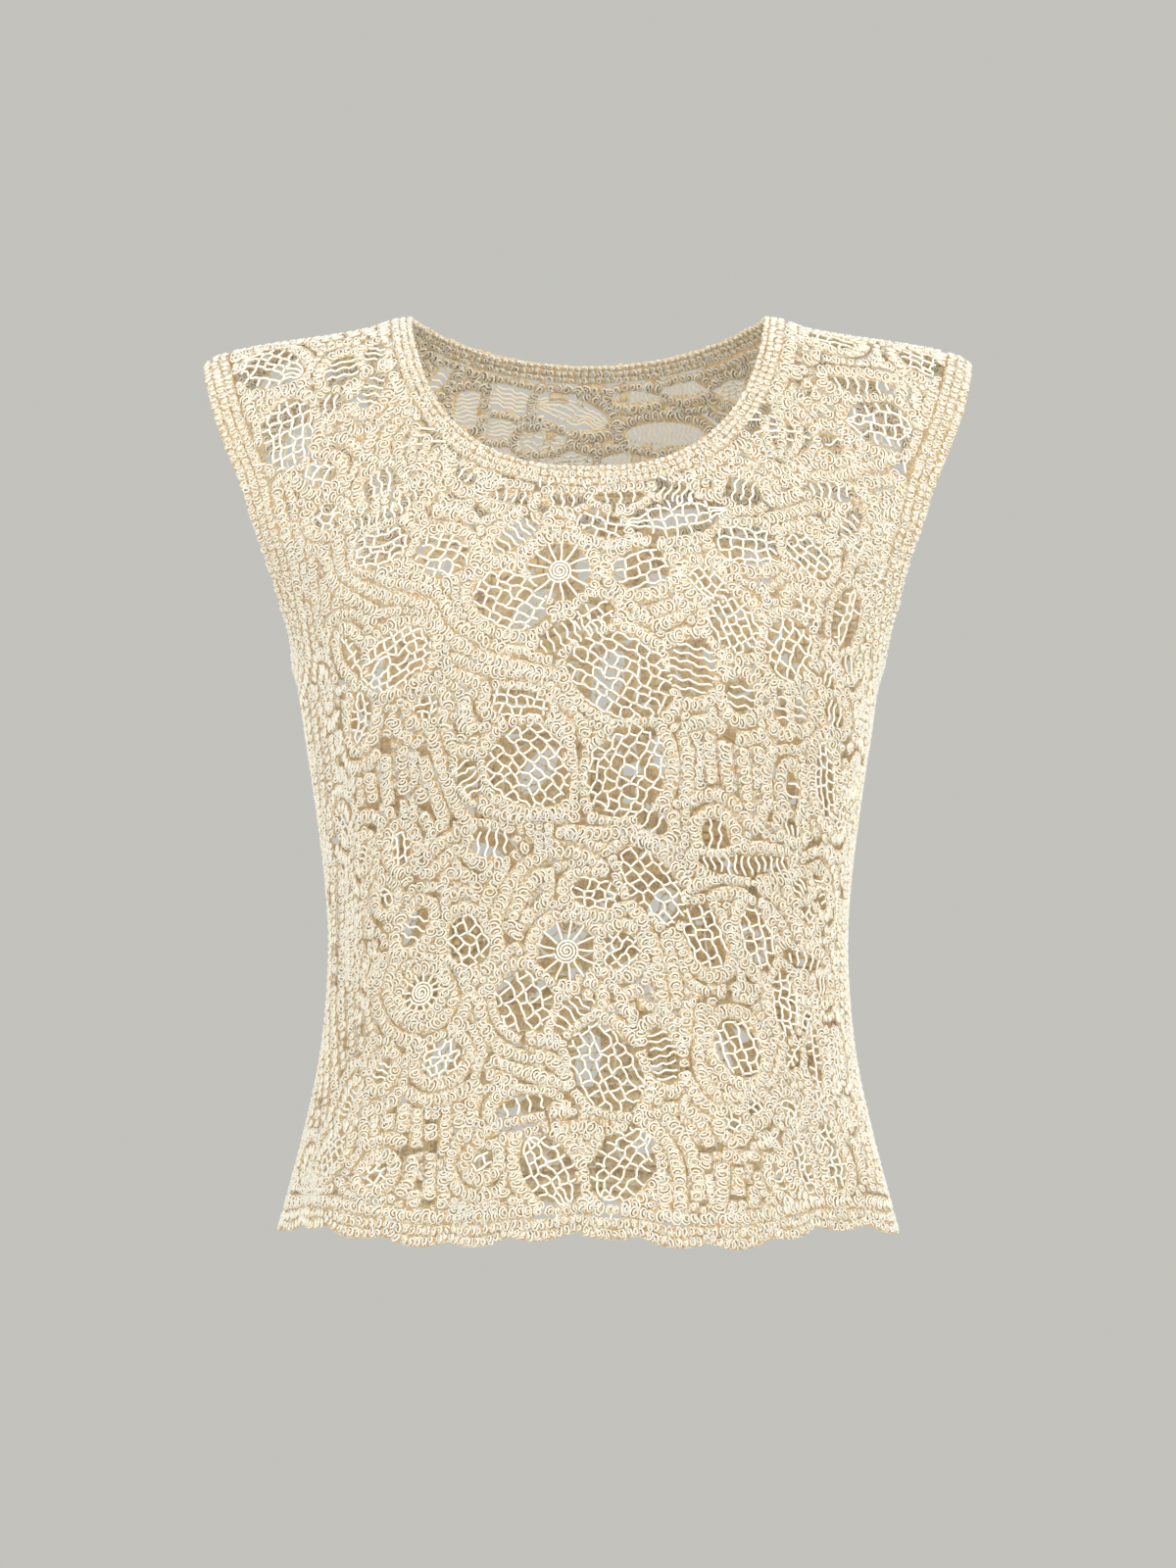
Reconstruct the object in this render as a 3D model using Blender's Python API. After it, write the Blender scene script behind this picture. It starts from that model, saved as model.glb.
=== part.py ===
"""Crocheted lace vest, worn shape, hollow: front and back panels with a neckband, two armhole bands
and a scalloped hem edging. Metres, +Z up, the front faces -Y. The origin is midway between the two
shoulder seams, level with the inner ends of the seams, where a wearer's shoulders hold the vest up.

The cloth's mid-surface is worked out once, from the LEVELS table: each level gives the section of the
garment at one height, from the shoulder ridge down to the hem. A place on the surface is (across,
down): across runs from -1 at the left edge to +1 at the right edge of the front or back, evenly along
the cloth, and down is the distance from the shoulder ridge along the cloth, positive in front and
negative behind. Every piece is a wall laid on that surface."""

import bmesh
import bpy
import numpy as np

MM = 0.001

# Driving dimensions, in metres
PANEL_WALL = 3.0 * MM
BAND_WALL = 3.6 * MM
SEAM_GAP = 0.3 * MM
NECK_HALF_WIDTH = 102 * MM
NECK_DROP_FRONT = 91 * MM
NECK_DROP_BACK = 24 * MM
NECK_CURVE_FRONT = 2.45  # superellipse power of the front neckline, laid flat
NECK_CURVE_BACK = 1.9
NECKBAND_WIDTH = 12 * MM
SHOULDER_TIP_DROP = 28.5 * MM
UNDERARM_DROP = 205 * MM
ARMHOLE_REACH_FRONT = 54 * MM  # how far forward of the side line the armhole opens
ARMHOLE_REACH_BACK = 50 * MM
ARMHOLE_TOP_POWER = 0.6  # below 1, the lower the rounder the armhole's end
ARMHOLE_BOTTOM_POWER = 0.5
ARMHOLE_BAND_WIDTH = 16 * MM
SIDE_TURN_START = 118 * MM  # height below the origin from which the cloth turns round to the side line
HEM_DROP = 515.5 * MM  # height of the panels' lower edge below the origin
HEM_EDGING = 13 * MM  # depth of the edging at the tip of a scallop
SCALLOPS = 26  # round the whole hem
SCALLOP_DEPTH = 6 * MM
HEM_WAVES = 6  # slow rises and falls of the hem
HEM_WAVE_HEIGHT = 3.5 * MM
HEM_WAVE_START = -1.29  # radians
SCALLOP_START = 0.05

# One row for each section, from the shoulder ridge down, in millimetres.
# mid: height at the centre line; edge: height at the panel's edge; half: half the width;
# front, back: how far the section stands out at the centre line;
# left, right: how square the front turns to that side, as a superellipse power;
# turn: 1 where the edge is an open armhole, more where the cloth turns right round to the side.
LEVELS = (
    dict(mid=6.5, edge=-28.5, half=223, front=0, back=0, left=2.5, right=2.5, turn=1.0),
    dict(mid=4.5, edge=-31, half=223, front=15, back=15, left=2.5, right=2.5, turn=1.0),
    dict(mid=-4, edge=-38, half=221.5, front=32, back=31, left=2.5, right=2.5, turn=1.0),
    dict(mid=-20, edge=-52, half=217.5, front=48, back=47, left=2.5, right=2.5, turn=1.0),
    dict(mid=-46, edge=-74, half=209.5, front=63, back=65, left=2.5, right=2.5, turn=1.0),
    dict(mid=-80, edge=-101, half=198.5, front=79, back=80, left=2.6, right=2.6, turn=1.0),
    dict(mid=-115, edge=-130, half=191, front=94, back=91, left=2.8, right=2.8, turn=1.3),
    dict(mid=-150, edge=-158, half=193, front=108, back=99, left=2.9, right=3.0, turn=1.3),
    dict(mid=-182, edge=-185, half=178.7, front=117, back=102, left=2.6, right=2.9, turn=1.95),
    dict(mid=-210, edge=-210, half=168.7, front=121, back=102, left=2.35, right=2.7, turn=2.2),
    dict(mid=-245, edge=-245, half=162.7, front=119, back=99, left=2.1, right=2.6, turn=2.3),
    dict(mid=-285, edge=-285, half=156.7, front=112, back=94, left=2.05, right=2.6, turn=2.3),
    dict(mid=-325, edge=-325, half=151.7, front=105, back=91, left=2.05, right=2.6, turn=2.3),
    dict(mid=-360, edge=-360, half=149.5, front=102, back=93, left=2.05, right=2.6, turn=2.3),
    dict(mid=-395, edge=-395, half=150.7, front=102, back=98, left=2.1, right=2.5, turn=2.2),
    dict(mid=-430, edge=-430, half=154.7, front=105, back=106, left=2.1, right=2.4, turn=2.2),
    dict(mid=-470, edge=-470, half=163.2, front=112, back=115, left=2.1, right=2.3, turn=2.1),
    dict(mid=-510, edge=-510, half=173.7, front=121, back=123, left=2.1, right=2.2, turn=2.1),
    dict(mid=-550, edge=-550, half=184.7, front=130, back=131, left=2.1, right=2.1, turn=2.1),
)

# The shoulder seam's line: how far out from the middle, and its height there, in millimetres.
SHOULDER_LINE = (
    dict(out=102, height=-0.5),
    dict(out=113, height=-2),
    dict(out=124, height=-6.2),
    dict(out=136, height=-8.8),
    dict(out=163, height=-13),
    dict(out=194, height=-17.6),
    dict(out=212, height=-21.8),
    dict(out=219, height=-25),
    dict(out=223, height=-29.5),
)
SHOULDER_FADE = 70 * MM  # distance from the seam within which the levels take up their own line

# Soft vertical folds: where across, the heights (mm) near which they start and end, half width
# across (mm), and how far the cloth stands out (+) or sinks (-) there (mm).
FOLDS = (
    dict(side="front", across=-0.60, top=-120, bottom=-440, half=26, out=4.0),
    dict(side="front", across=-0.76, top=-150, bottom=-470, half=24, out=-4.5),
    dict(side="front", across=0.72, top=-170, bottom=-420, half=18, out=2.5),
    dict(side="front", across=-0.62, top=-430, bottom=-700, half=22, out=6.5),
    dict(side="front", across=-0.36, top=-440, bottom=-700, half=24, out=-5.0),
    dict(side="front", across=-0.12, top=-450, bottom=-700, half=22, out=3.5),
    dict(side="front", across=0.08, top=-445, bottom=-700, half=24, out=-4.5),
    dict(side="front", across=0.34, top=-430, bottom=-700, half=26, out=6.0),
    dict(side="front", across=0.60, top=-440, bottom=-700, half=22, out=-5.5),
    dict(side="front", across=0.82, top=-440, bottom=-700, half=18, out=4.5),
    dict(side="front", across=-0.84, top=-445, bottom=-700, half=18, out=-4.0),
    dict(side="back", across=-0.66, top=-430, bottom=-700, half=24, out=6.0),
    dict(side="back", across=-0.38, top=-445, bottom=-700, half=24, out=-5.5),
    dict(side="back", across=-0.06, top=-425, bottom=-700, half=28, out=6.0),
    dict(side="back", across=0.27, top=-445, bottom=-700, half=22, out=-4.5),
    dict(side="back", across=0.55, top=-430, bottom=-700, half=24, out=6.0),
    dict(side="back", across=0.80, top=-445, bottom=-700, half=20, out=-4.5),
)

FOLD_START = dict(above=10, below=75)  # mm round a fold's top within which it grows to its full depth
FOLD_END = dict(above=60, below=20)  # mm round a fold's bottom within which it dies away
FLAT_BY_SEAM = 0.12  # share of the half width beside a side seam over which the folds die away

# Mesh fineness
SURFACE_STEP = 4 * MM
SURFACE_COLUMNS = 181
SECTION_POINTS = 725  # of each section before its points are spread evenly; odd, for one in the middle
SHOULDER_COLUMNS = 4
NECK_COLUMNS = 16
SIDE_ROWS = 12
ARMHOLE_ROWS = 18
STEPS_PER_COLUMN = 3  # of the hem edging, to each column of a panel
WALK_STEPS = 6
SLOPE_ACROSS = 0.004  # how far apart the surface's slope is measured, across and down
SLOPE_DOWN = 1 * MM
ARMHOLE_TRIES = 600
SHARP_ANGLE = 50  # degrees

YARN_COLOUR = (0.87, 0.80, 0.66, 1)
YARN_ROUGHNESS = 0.85


def column(name):
    return np.array([level[name] for level in LEVELS], float)


def smooth(at, knots, values):
    """A smooth curve through values[k] at knots[k], read at each of at."""
    slopes = np.gradient(values, knots)
    k = np.clip(np.searchsorted(knots, at, side="right") - 1, 0, len(knots) - 2)
    gap = knots[k + 1] - knots[k]
    s = (at - knots[k]) / gap
    start = (1 + 2 * s) * (1 - s) ** 2 * values[k] + s * (1 - s) ** 2 * gap * slopes[k]
    end = s**2 * (3 - 2 * s) * values[k + 1] + s**2 * (s - 1) * gap * slopes[k + 1]
    return start + end


def fade(value, start, end):
    """0 before start, 1 past end, smoothly between."""
    s = np.clip((value - start) / (end - start), 0, 1)
    return s * s * (3 - 2 * s)


def distances(points):
    """The distance from the first point to each, along the points."""
    return np.concatenate([[0], np.linalg.norm(np.diff(points, axis=0), axis=1).cumsum()])


def armhole_reach(height, front):
    """How far the armhole's edge lies from the side line at this height: rounded at both ends."""
    tip, bottom = -SHOULDER_TIP_DROP, -UNDERARM_DROP
    share = np.clip((tip - height) / (tip - bottom), 0, 1)
    widest_at = ARMHOLE_TOP_POWER / (ARMHOLE_TOP_POWER + ARMHOLE_BOTTOM_POWER)
    widest = widest_at**ARMHOLE_TOP_POWER * (1 - widest_at) ** ARMHOLE_BOTTOM_POWER
    reach = np.where(front, ARMHOLE_REACH_FRONT, ARMHOLE_REACH_BACK)
    return reach * share**ARMHOLE_TOP_POWER * (1 - share) ** ARMHOLE_BOTTOM_POWER / widest


class Surface:
    """The garment's mid-surface, as a fine grid of points over (down, across)."""

    def __init__(self):
        self.lay_levels()
        self.lay_points()
        self.add_folds()
        self.lay_normals()

    def lay_levels(self):
        """Puts the levels in one row from the back hem over the shoulder ridge to the front hem, with
        the distance along the cloth to each."""
        heights = column("mid") * MM
        profile_front = np.stack([column("front") * MM, heights], axis=1)
        profile_back = np.stack([column("back") * MM, heights], axis=1)
        self.knots = np.concatenate([-distances(profile_back)[:0:-1], distances(profile_front)])
        back_rows = slice(None, 0, -1)
        self.rows = {
            name: np.concatenate([column(name)[back_rows], column(name)])
            for name in ("mid", "edge", "left", "right", "turn")
        }
        self.rows["out"] = np.concatenate([column("back")[back_rows], -column("front")])
        steps = int((self.knots[-1] - self.knots[0]) / SURFACE_STEP)
        self.down = np.linspace(self.knots[0], self.knots[-1], steps)
        self.across = np.linspace(-1, 1, SURFACE_COLUMNS)

    def read(self, name):
        return smooth(self.down, self.knots, self.rows[name])[:, None]

    def lay_points(self):
        """Each row's section, then the same section with its points spread evenly along the cloth."""
        share = np.sin(np.linspace(-np.pi / 2, np.pi / 2, SECTION_POINTS))[None, :]
        front = self.down[:, None] > 0
        edge = self.read("edge") * MM
        middle = self.read("mid") * MM
        near_seam = 1 - fade(abs(self.down[:, None]), 0, SHOULDER_FADE)
        height = middle + (edge - middle) * share**2 + self.shoulder_offset(share) * near_seam
        closing = 1 - fade(-edge, SIDE_TURN_START, UNDERARM_DROP)
        reach = np.where(front, -1, 1) * armhole_reach(edge, front) * closing
        plain = (self.read("left") + self.read("right")) / 2
        power = np.where(share < 0, self.read("left"), self.read("right"))
        power = np.where(front, power, plain)
        rise = np.clip(1 - np.abs(share) ** power, 0, 1) ** (1 / self.read("turn"))
        y = reach + (self.read("out") * MM - reach) * rise
        half = smooth(-edge / MM, -column("edge"), column("half"))
        x = half * MM * share
        section = np.stack(np.broadcast_arrays(x, y, height), axis=2)
        self.points = np.empty((len(self.down), SURFACE_COLUMNS, 3))
        self.half_lengths = np.empty((len(self.down), 2))
        centre = SECTION_POINTS // 2
        for row, points in enumerate(section):
            run = distances(points)
            left, right = run[centre], run[-1] - run[centre]
            wanted = np.where(self.across < 0, left + self.across * left, left + self.across * right)
            self.half_lengths[row] = left, right
            for axis in range(3):
                self.points[row, :, axis] = np.interp(wanted, run, points[:, axis])

    def shoulder_offset(self, share):
        """How far the shoulder seam's line lies above the plain curve of the first level."""
        first = LEVELS[0]
        plain = first["mid"] + (first["edge"] - first["mid"]) * share**2
        out = np.array([point["out"] for point in SHOULDER_LINE], float)
        line = np.array([point["height"] for point in SHOULDER_LINE], float)
        offset = smooth(np.clip(np.abs(share) * first["half"], out[0], None), out, line) - plain
        return np.where(np.abs(share) * first["half"] > out[0], offset, 0) * MM

    def add_folds(self):
        normals = self.normals_of(self.points)
        height = self.points[:, :, 2] / MM
        lengths = np.where(self.across < 0, self.half_lengths[:, :1], self.half_lengths[:, 1:]) / MM
        out = np.zeros(height.shape)
        for fold in FOLDS:
            on_side = (self.down[:, None] > 0) == (fold["side"] == "front")
            away = (self.across - fold["across"]) * lengths / fold["half"]
            begun = fade(-height, -fold["top"] - FOLD_START["above"], -fold["top"] + FOLD_START["below"])
            ended = fade(-height, -fold["bottom"] - FOLD_END["above"], -fold["bottom"] + FOLD_END["below"])
            out += on_side * fold["out"] * np.exp(-(away**2)) * begun * (1 - ended)
        off_seam = fade(1 - np.abs(self.across), 0, FLAT_BY_SEAM)
        self.points += normals * (out * off_seam * MM)[:, :, None]

    def normals_of(self, points):
        down = np.gradient(points, self.down, axis=0)
        across = np.gradient(points, self.across, axis=1)
        normals = np.cross(down, across)
        return normals / np.linalg.norm(normals, axis=2, keepdims=True)

    def lay_normals(self):
        """At the side seam both panels' walls face straight out, so that their edges stay parallel."""
        self.normals = self.normals_of(self.points)
        closed = self.points[:, 0, 2] < -UNDERARM_DROP
        for edge in (0, -1):
            self.normals[closed, edge, 1] = 0
        self.normals /= np.linalg.norm(self.normals, axis=2, keepdims=True)

    def look_up(self, grid, across, down):
        row = np.interp(down, self.down, np.arange(len(self.down)))
        col = np.interp(across, self.across, np.arange(SURFACE_COLUMNS))
        r = np.clip(row.astype(int), 0, len(self.down) - 2)
        c = np.clip(col.astype(int), 0, SURFACE_COLUMNS - 2)
        a = (row - r)[..., None]
        b = (col - c)[..., None]
        near = grid[r, c] * (1 - b) + grid[r, c + 1] * b
        far = grid[r + 1, c] * (1 - b) + grid[r + 1, c + 1] * b
        return near * (1 - a) + far * a

    def at(self, across, down):
        return self.look_up(self.points, across, down)

    def normal(self, across, down):
        found = self.look_up(self.normals, across, down)
        return found / np.linalg.norm(found, axis=-1, keepdims=True)

    def walk(self, across, down, direction, distance):
        """The places reached by walking this far over the surface, each in its own 3-D direction."""
        half = np.sign(down)
        on_seam = (np.abs(across) == 1) & (self.at(across, down)[:, 2] < -UNDERARM_DROP)
        start = across
        step = distance / WALK_STEPS
        for _ in range(WALK_STEPS):
            here = self.at(across, down)
            normal = self.normal(across, down)
            direction = direction - normal * (direction * normal).sum(axis=-1, keepdims=True)
            direction = direction / np.linalg.norm(direction, axis=-1, keepdims=True)
            inward = np.where(across > 0, -SLOPE_ACROSS, SLOPE_ACROSS)
            by_across = (self.at(across + inward, down) - here) / inward[..., None]
            below, above = (self.at(across, down + way * SLOPE_DOWN) for way in (1, -1))
            by_down = (below - above) / (2 * SLOPE_DOWN)
            aa = (by_across**2).sum(-1)
            dd = (by_down**2).sum(-1)
            ad = (by_across * by_down).sum(-1)
            wa = (by_across * direction).sum(-1)
            wd = (by_down * direction).sum(-1)
            det = aa * dd - ad * ad
            across = np.clip(across + step * (wa * dd - wd * ad) / det, -1, 1)
            across = np.where(on_seam, start, across)
            down = down + step * (wd * aa - wa * ad) / det
            down = np.where(half > 0, np.maximum(down, 0), np.where(half < 0, np.minimum(down, 0), down))
        return across, down

    def ridge_step(self, across, distance):
        """How far down is this distance from the shoulder ridge, measured over the cloth."""
        ridge = self.at(across, np.zeros(len(across)))
        below = self.at(across, np.full(len(across), MM))
        return distance * MM / np.linalg.norm(below - ridge, axis=1)

    def across_at(self, x, down):
        """The place across at which each row reaches this x."""
        fine = np.linspace(-1, 1, SECTION_POINTS)
        found = [np.interp(a, self.at(fine, np.full(len(fine), d))[:, 0], fine) for a, d in zip(x, down)]
        return np.array(found)

    def across_at_depth(self, down, side, front):
        """The place across, towards one side, at which each row has come round to the armhole's edge."""
        fine = np.linspace(side, 0, SURFACE_COLUMNS)
        found = []
        for d in down:
            line = self.at(fine, np.full(len(fine), d))
            past = np.abs(line[:, 1]) - armhole_reach(line[:, 2], front)
            inside = np.argmax(past > 0) if (past > 0).any() else 0
            if inside == 0:
                found.append(side)
                continue
            share = past[inside] / (past[inside] - past[inside - 1])
            found.append(fine[inside] + share * (fine[inside - 1] - fine[inside]))
        return np.array(found, float)

    def down_at_height(self, across, height, front):
        """The distance down to this height, on the front or the back."""
        rows = np.flatnonzero(self.down > 0) if front else np.flatnonzero(self.down < 0)[::-1]
        result = np.empty(len(across))
        for i, (a, z) in enumerate(zip(across, height)):
            line = self.at(np.full(len(rows), a), self.down[rows])[:, 2]
            result[i] = np.interp(-z, -line, self.down[rows])
        return result


def column_count():
    return 2 * SHOULDER_COLUMNS + NECK_COLUMNS


def ring_ways(surface, across, down):
    """At each place of a closed edge, the direction over the cloth that is square to the edge."""
    points = surface.at(across, down)
    along = np.roll(points, -1, axis=0) - np.roll(points, 1, axis=0)
    return np.cross(surface.normal(across, down), along)


def facing(ways, wanted):
    """ways, turned round if they point against wanted."""
    return ways if (ways * wanted).sum() > 0 else -ways


def both_halves(front, back):
    """A closed ring: down the front from its first place to its last, and back by the back's."""
    return np.concatenate([front, back[-2:0:-1]])


def neck_edge(surface):
    """The neck opening's edge as (across, down), from the right shoulder over the front to the left,
    and round the back."""
    halves = []
    for front, drop, power in (
        (True, NECK_DROP_FRONT, NECK_CURVE_FRONT),
        (False, NECK_DROP_BACK, NECK_CURVE_BACK),
    ):
        lowest = surface.down_at_height(np.zeros(1), np.array([-drop]), front)[0]
        turn = np.linspace(0, np.pi, NECK_COLUMNS + 1)
        x = NECK_HALF_WIDTH * np.sign(np.cos(turn)) * np.abs(np.cos(turn)) ** (2 / power)
        down = lowest * np.sin(turn) ** (2 / power)
        down[[0, -1]] = 0
        halves.append((surface.across_at(x, down), down))
    return [both_halves(f, b) for f, b in zip(*halves)]


def armhole_edge(surface, side):
    """The armhole's edge as (across, down), from the shoulder tip down the front to the underarm, and
    up the back. side is -1 or 1."""
    halves = []
    for front in (True, False):
        underarm = surface.down_at_height(np.array([side * 1.0]), np.array([-UNDERARM_DROP]), front)[0]
        fine = np.linspace(0, underarm, ARMHOLE_TRIES)
        across = surface.across_at_depth(fine, side, front)
        points = surface.at(across, fine)
        run = distances(points)
        wanted = np.linspace(0, run[-1], ARMHOLE_ROWS + 1)
        halves.append([np.interp(wanted, run, values) for values in (across, fine)])
    return [both_halves(f, b) for f, b in zip(*halves)]


def hem_turn(across, front):
    """The angle round the garment, from the middle of the front."""
    quarter = np.pi / 2
    return across * quarter if front else np.pi - across * quarter


def hem_line(surface, across, front):
    """The distance down to the panels' lower edge."""
    down = surface.down_at_height(across, np.full(len(across), -HEM_DROP), front)
    wave = HEM_WAVE_HEIGHT * np.sin(HEM_WAVES * hem_turn(across, front) + HEM_WAVE_START)
    return down + (wave if front else -wave)


def wall(name, points, normals, thickness, closed):
    """A closed body: the grid of points (rows, columns) thickened both ways along the normals. A closed
    one joins its last row to its first."""
    mesh = bmesh.new()
    rows, cols = points.shape[:2]
    faces = []
    skins = []
    for way in (0.5, -0.5):
        moved = points + normals * thickness * way
        skins.append([[mesh.verts.new(moved[r, c]) for c in range(cols)] for r in range(rows)])
    outer, inner = skins
    steps = [(r, (r + 1) % rows) for r in range(rows if closed else rows - 1)]
    for r, s in steps:
        for c in range(cols - 1):
            for skin in skins:
                faces.append((skin[r][c], skin[s][c], skin[s][c + 1], skin[r][c + 1]))
        for c in (0, cols - 1):
            faces.append((outer[r][c], outer[s][c], inner[s][c], inner[r][c]))
    if not closed:
        for r in (0, rows - 1):
            for c in range(cols - 1):
                faces.append((outer[r][c], outer[r][c + 1], inner[r][c + 1], inner[r][c]))
    for corners in faces:
        mesh.faces.new(corners)
    bmesh.ops.recalc_face_normals(mesh, faces=mesh.faces)
    data = bpy.data.meshes.new(name)
    mesh.to_mesh(data)
    mesh.free()
    data.shade_smooth()
    data.set_sharp_from_angle(angle=np.radians(SHARP_ANGLE))
    data.materials.append(yarn_material(name))
    bpy.context.scene.collection.objects.link(bpy.data.objects.new(name, data))


def yarn_material(name):
    material = bpy.data.materials.new(name)
    material.use_nodes = True
    shader = material.node_tree.nodes["Principled BSDF"]
    shader.inputs["Base Color"].default_value = YARN_COLOUR
    shader.inputs["Roughness"].default_value = YARN_ROUGHNESS
    return material


def band(name, surface, edge, width, outward_from):
    """A ring along a closed edge, as wide as width over the cloth."""
    across, down = edge
    points = surface.at(across, down)
    ways = facing(ring_ways(surface, across, down), points - outward_from)
    stations = [surface.walk(across, down, ways, width * share) for share in (0, 0.5, 1)]
    grid = np.stack([surface.at(a, d) for a, d in stations], axis=1)
    normals = np.stack([surface.normal(a, d) for a, d in stations], axis=1)
    wall(name, grid, normals, BAND_WALL, closed=True)
    return surface.walk(across, down, ways, width + SEAM_GAP)


def half_of(surface, ring, steps, front):
    """One half of a ring's places, from its first place to its last, told on that half's own side."""
    across, down = ring
    order = np.arange(steps + 1) if front else -np.arange(steps + 1) % len(across)
    half = np.stack([across[order], down[order]], axis=1)
    if not front and half[-1, 1] > 0:
        height = surface.at(half[-1:, 0], half[-1:, 1])[:, 2]
        half[-1, 1] = surface.down_at_height(half[-1:, 0], height, front)[0]
    return half


def panel_grid(surface, neck, armholes, front):
    """The panel's places: rows from the hem up, columns from left to right, between its four edges."""
    sign = 1 if front else -1
    seam = SEAM_GAP / 2
    top = half_of(surface, neck, NECK_COLUMNS, front)[::-1]
    left, right = (half_of(surface, armholes[s], ARMHOLE_ROWS, front) for s in (-1, 1))
    for edge in (top, left, right):
        at_ridge = surface.ridge_step(edge[:, 0], seam)
        edge[:, 1] = sign * np.maximum(sign * edge[:, 1], at_ridge)
    left[-1, 0], right[-1, 0] = -1, 1
    shoulder_left = np.linspace(left[0], top[0], SHOULDER_COLUMNS + 1)[:-1]
    shoulder_right = np.linspace(top[-1], right[0], SHOULDER_COLUMNS + 1)[1:]
    for shoulder in (shoulder_left[1:], shoulder_right[:-1]):
        shoulder[:, 1] = sign * surface.ridge_step(shoulder[:, 0], seam)
    top = np.concatenate([shoulder_left, top, shoulder_right])
    hem_across = np.linspace(-1, 1, column_count() + 1)
    hem = np.stack([hem_across, hem_line(surface, hem_across, front)], axis=1)
    sides = []
    for edge, corner in ((left, hem[0]), (right, hem[-1])):
        seam_part = np.linspace(corner, edge[-1], SIDE_ROWS + 1)[:-1]
        sides.append(np.concatenate([seam_part, edge[::-1]]))
    left, right = sides
    v = np.linspace(0, 1, len(left))[:, None, None]
    u = np.linspace(0, 1, len(top))[None, :, None]
    grid = (1 - v) * hem[None] + v * top[None] + (1 - u) * left[:, None] + u * right[:, None]
    grid -= (1 - v) * ((1 - u) * hem[0] + u * hem[-1]) + v * ((1 - u) * top[0] + u * top[-1])
    across, down = grid[..., 0], grid[..., 1]
    lengths = np.interp(down[:, 0], surface.down, surface.half_lengths.mean(axis=1))
    return across * (1 - seam / lengths)[:, None], down


def panel(name, surface, neck, armholes, front):
    across, down = panel_grid(surface, neck, armholes, front)
    wall(name, surface.at(across, down), surface.normal(across, down), PANEL_WALL, closed=False)


def hem_edging(surface):
    """A ring below both panels: its upper edge follows theirs, its lower edge is scalloped."""
    points, normals = [], []
    columns = column_count()
    for front in (True, False):
        sign = 1 if front else -1
        corners = np.linspace(-1, 1, columns + 1)
        across = np.linspace(-1, 1, columns * STEPS_PER_COLUMN + 1)
        top = sign * np.interp(across, corners, hem_line(surface, corners, front)) + SEAM_GAP
        lobes = np.abs(np.sin(SCALLOPS / 2 * (hem_turn(across, front) + SCALLOP_START)))
        bottom = top + HEM_EDGING - SCALLOP_DEPTH * (1 - lobes)
        stations = [sign * top, sign * (top + bottom) / 2, sign * bottom]
        order = slice(0, -1) if front else slice(-1, 0, -1)
        points.append(np.stack([surface.at(across, d) for d in stations], axis=1)[order])
        normals.append(np.stack([surface.normal(across, d) for d in stations], axis=1)[order])
    wall("hem_edging", np.concatenate(points), np.concatenate(normals), BAND_WALL, closed=True)


def main():
    for old in list(bpy.data.objects):
        bpy.data.objects.remove(old)
    surface = Surface()
    neck = band("neckband", surface, neck_edge(surface), NECKBAND_WIDTH, np.array([0, 0, 0]))
    armholes = {}
    for side, name in ((-1, "armhole_band_left"), (1, "armhole_band_right")):
        edge = armhole_edge(surface, side)
        centre = surface.at(*edge).mean(axis=0) + np.array([side, 0, 0])
        armholes[side] = band(name, surface, edge, ARMHOLE_BAND_WIDTH, centre)
    panel("front_panel", surface, neck, armholes, front=True)
    panel("back_panel", surface, neck, armholes, front=False)
    hem_edging(surface)


main()
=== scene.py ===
"""Looks of the crocheted lace vest: every panel and edging as real yarn, laid on the same cloth surface
as the CAD model's walls.

The lace of a panel is drawn flat first, on a plan in millimetres: u runs across the cloth from its centre
line, and v runs down it from the shoulder seam. Motifs (leaf and oval nets, ladders, flowers) and ribs are
placed on the plan, rows of stitches are worked round them, and everything is then mapped onto the worn
surface."""

import bpy
import numpy as np
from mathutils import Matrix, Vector


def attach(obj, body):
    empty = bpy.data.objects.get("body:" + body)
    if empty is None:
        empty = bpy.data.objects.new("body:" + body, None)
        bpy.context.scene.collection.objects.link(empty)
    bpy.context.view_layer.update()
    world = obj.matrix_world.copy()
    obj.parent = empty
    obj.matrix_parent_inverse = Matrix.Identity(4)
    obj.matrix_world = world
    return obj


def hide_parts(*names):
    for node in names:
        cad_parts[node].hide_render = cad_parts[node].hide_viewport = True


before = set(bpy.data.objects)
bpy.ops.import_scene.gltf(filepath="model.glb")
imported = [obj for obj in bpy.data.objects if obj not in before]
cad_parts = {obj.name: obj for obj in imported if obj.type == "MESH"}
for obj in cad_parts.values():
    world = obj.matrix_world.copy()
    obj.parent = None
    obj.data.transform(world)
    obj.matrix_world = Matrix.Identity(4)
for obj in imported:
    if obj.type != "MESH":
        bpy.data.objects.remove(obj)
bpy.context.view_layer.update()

MM = 0.001

# The garment's cut and worn form, as in the CAD model, in metres
NECK_HALF_WIDTH = 102 * MM
NECK_DROP_FRONT = 91 * MM
NECK_DROP_BACK = 24 * MM
NECK_CURVE_FRONT = 2.45
NECK_CURVE_BACK = 1.9
NECKBAND_WIDTH = 12 * MM
SEAM_GAP = 0.3 * MM
SHOULDER_TIP_DROP = 28.5 * MM
UNDERARM_DROP = 205 * MM
ARMHOLE_REACH_FRONT = 54 * MM
ARMHOLE_REACH_BACK = 50 * MM
ARMHOLE_TOP_POWER = 0.6
ARMHOLE_BOTTOM_POWER = 0.5
ARMHOLE_BAND_WIDTH = 16 * MM
SIDE_TURN_START = 118 * MM
HEM_DROP = 515.5 * MM
HEM_EDGING = 13 * MM
SCALLOPS = 26
SCALLOP_DEPTH = 6 * MM
HEM_WAVES = 6
HEM_WAVE_HEIGHT = 3.5 * MM
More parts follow.
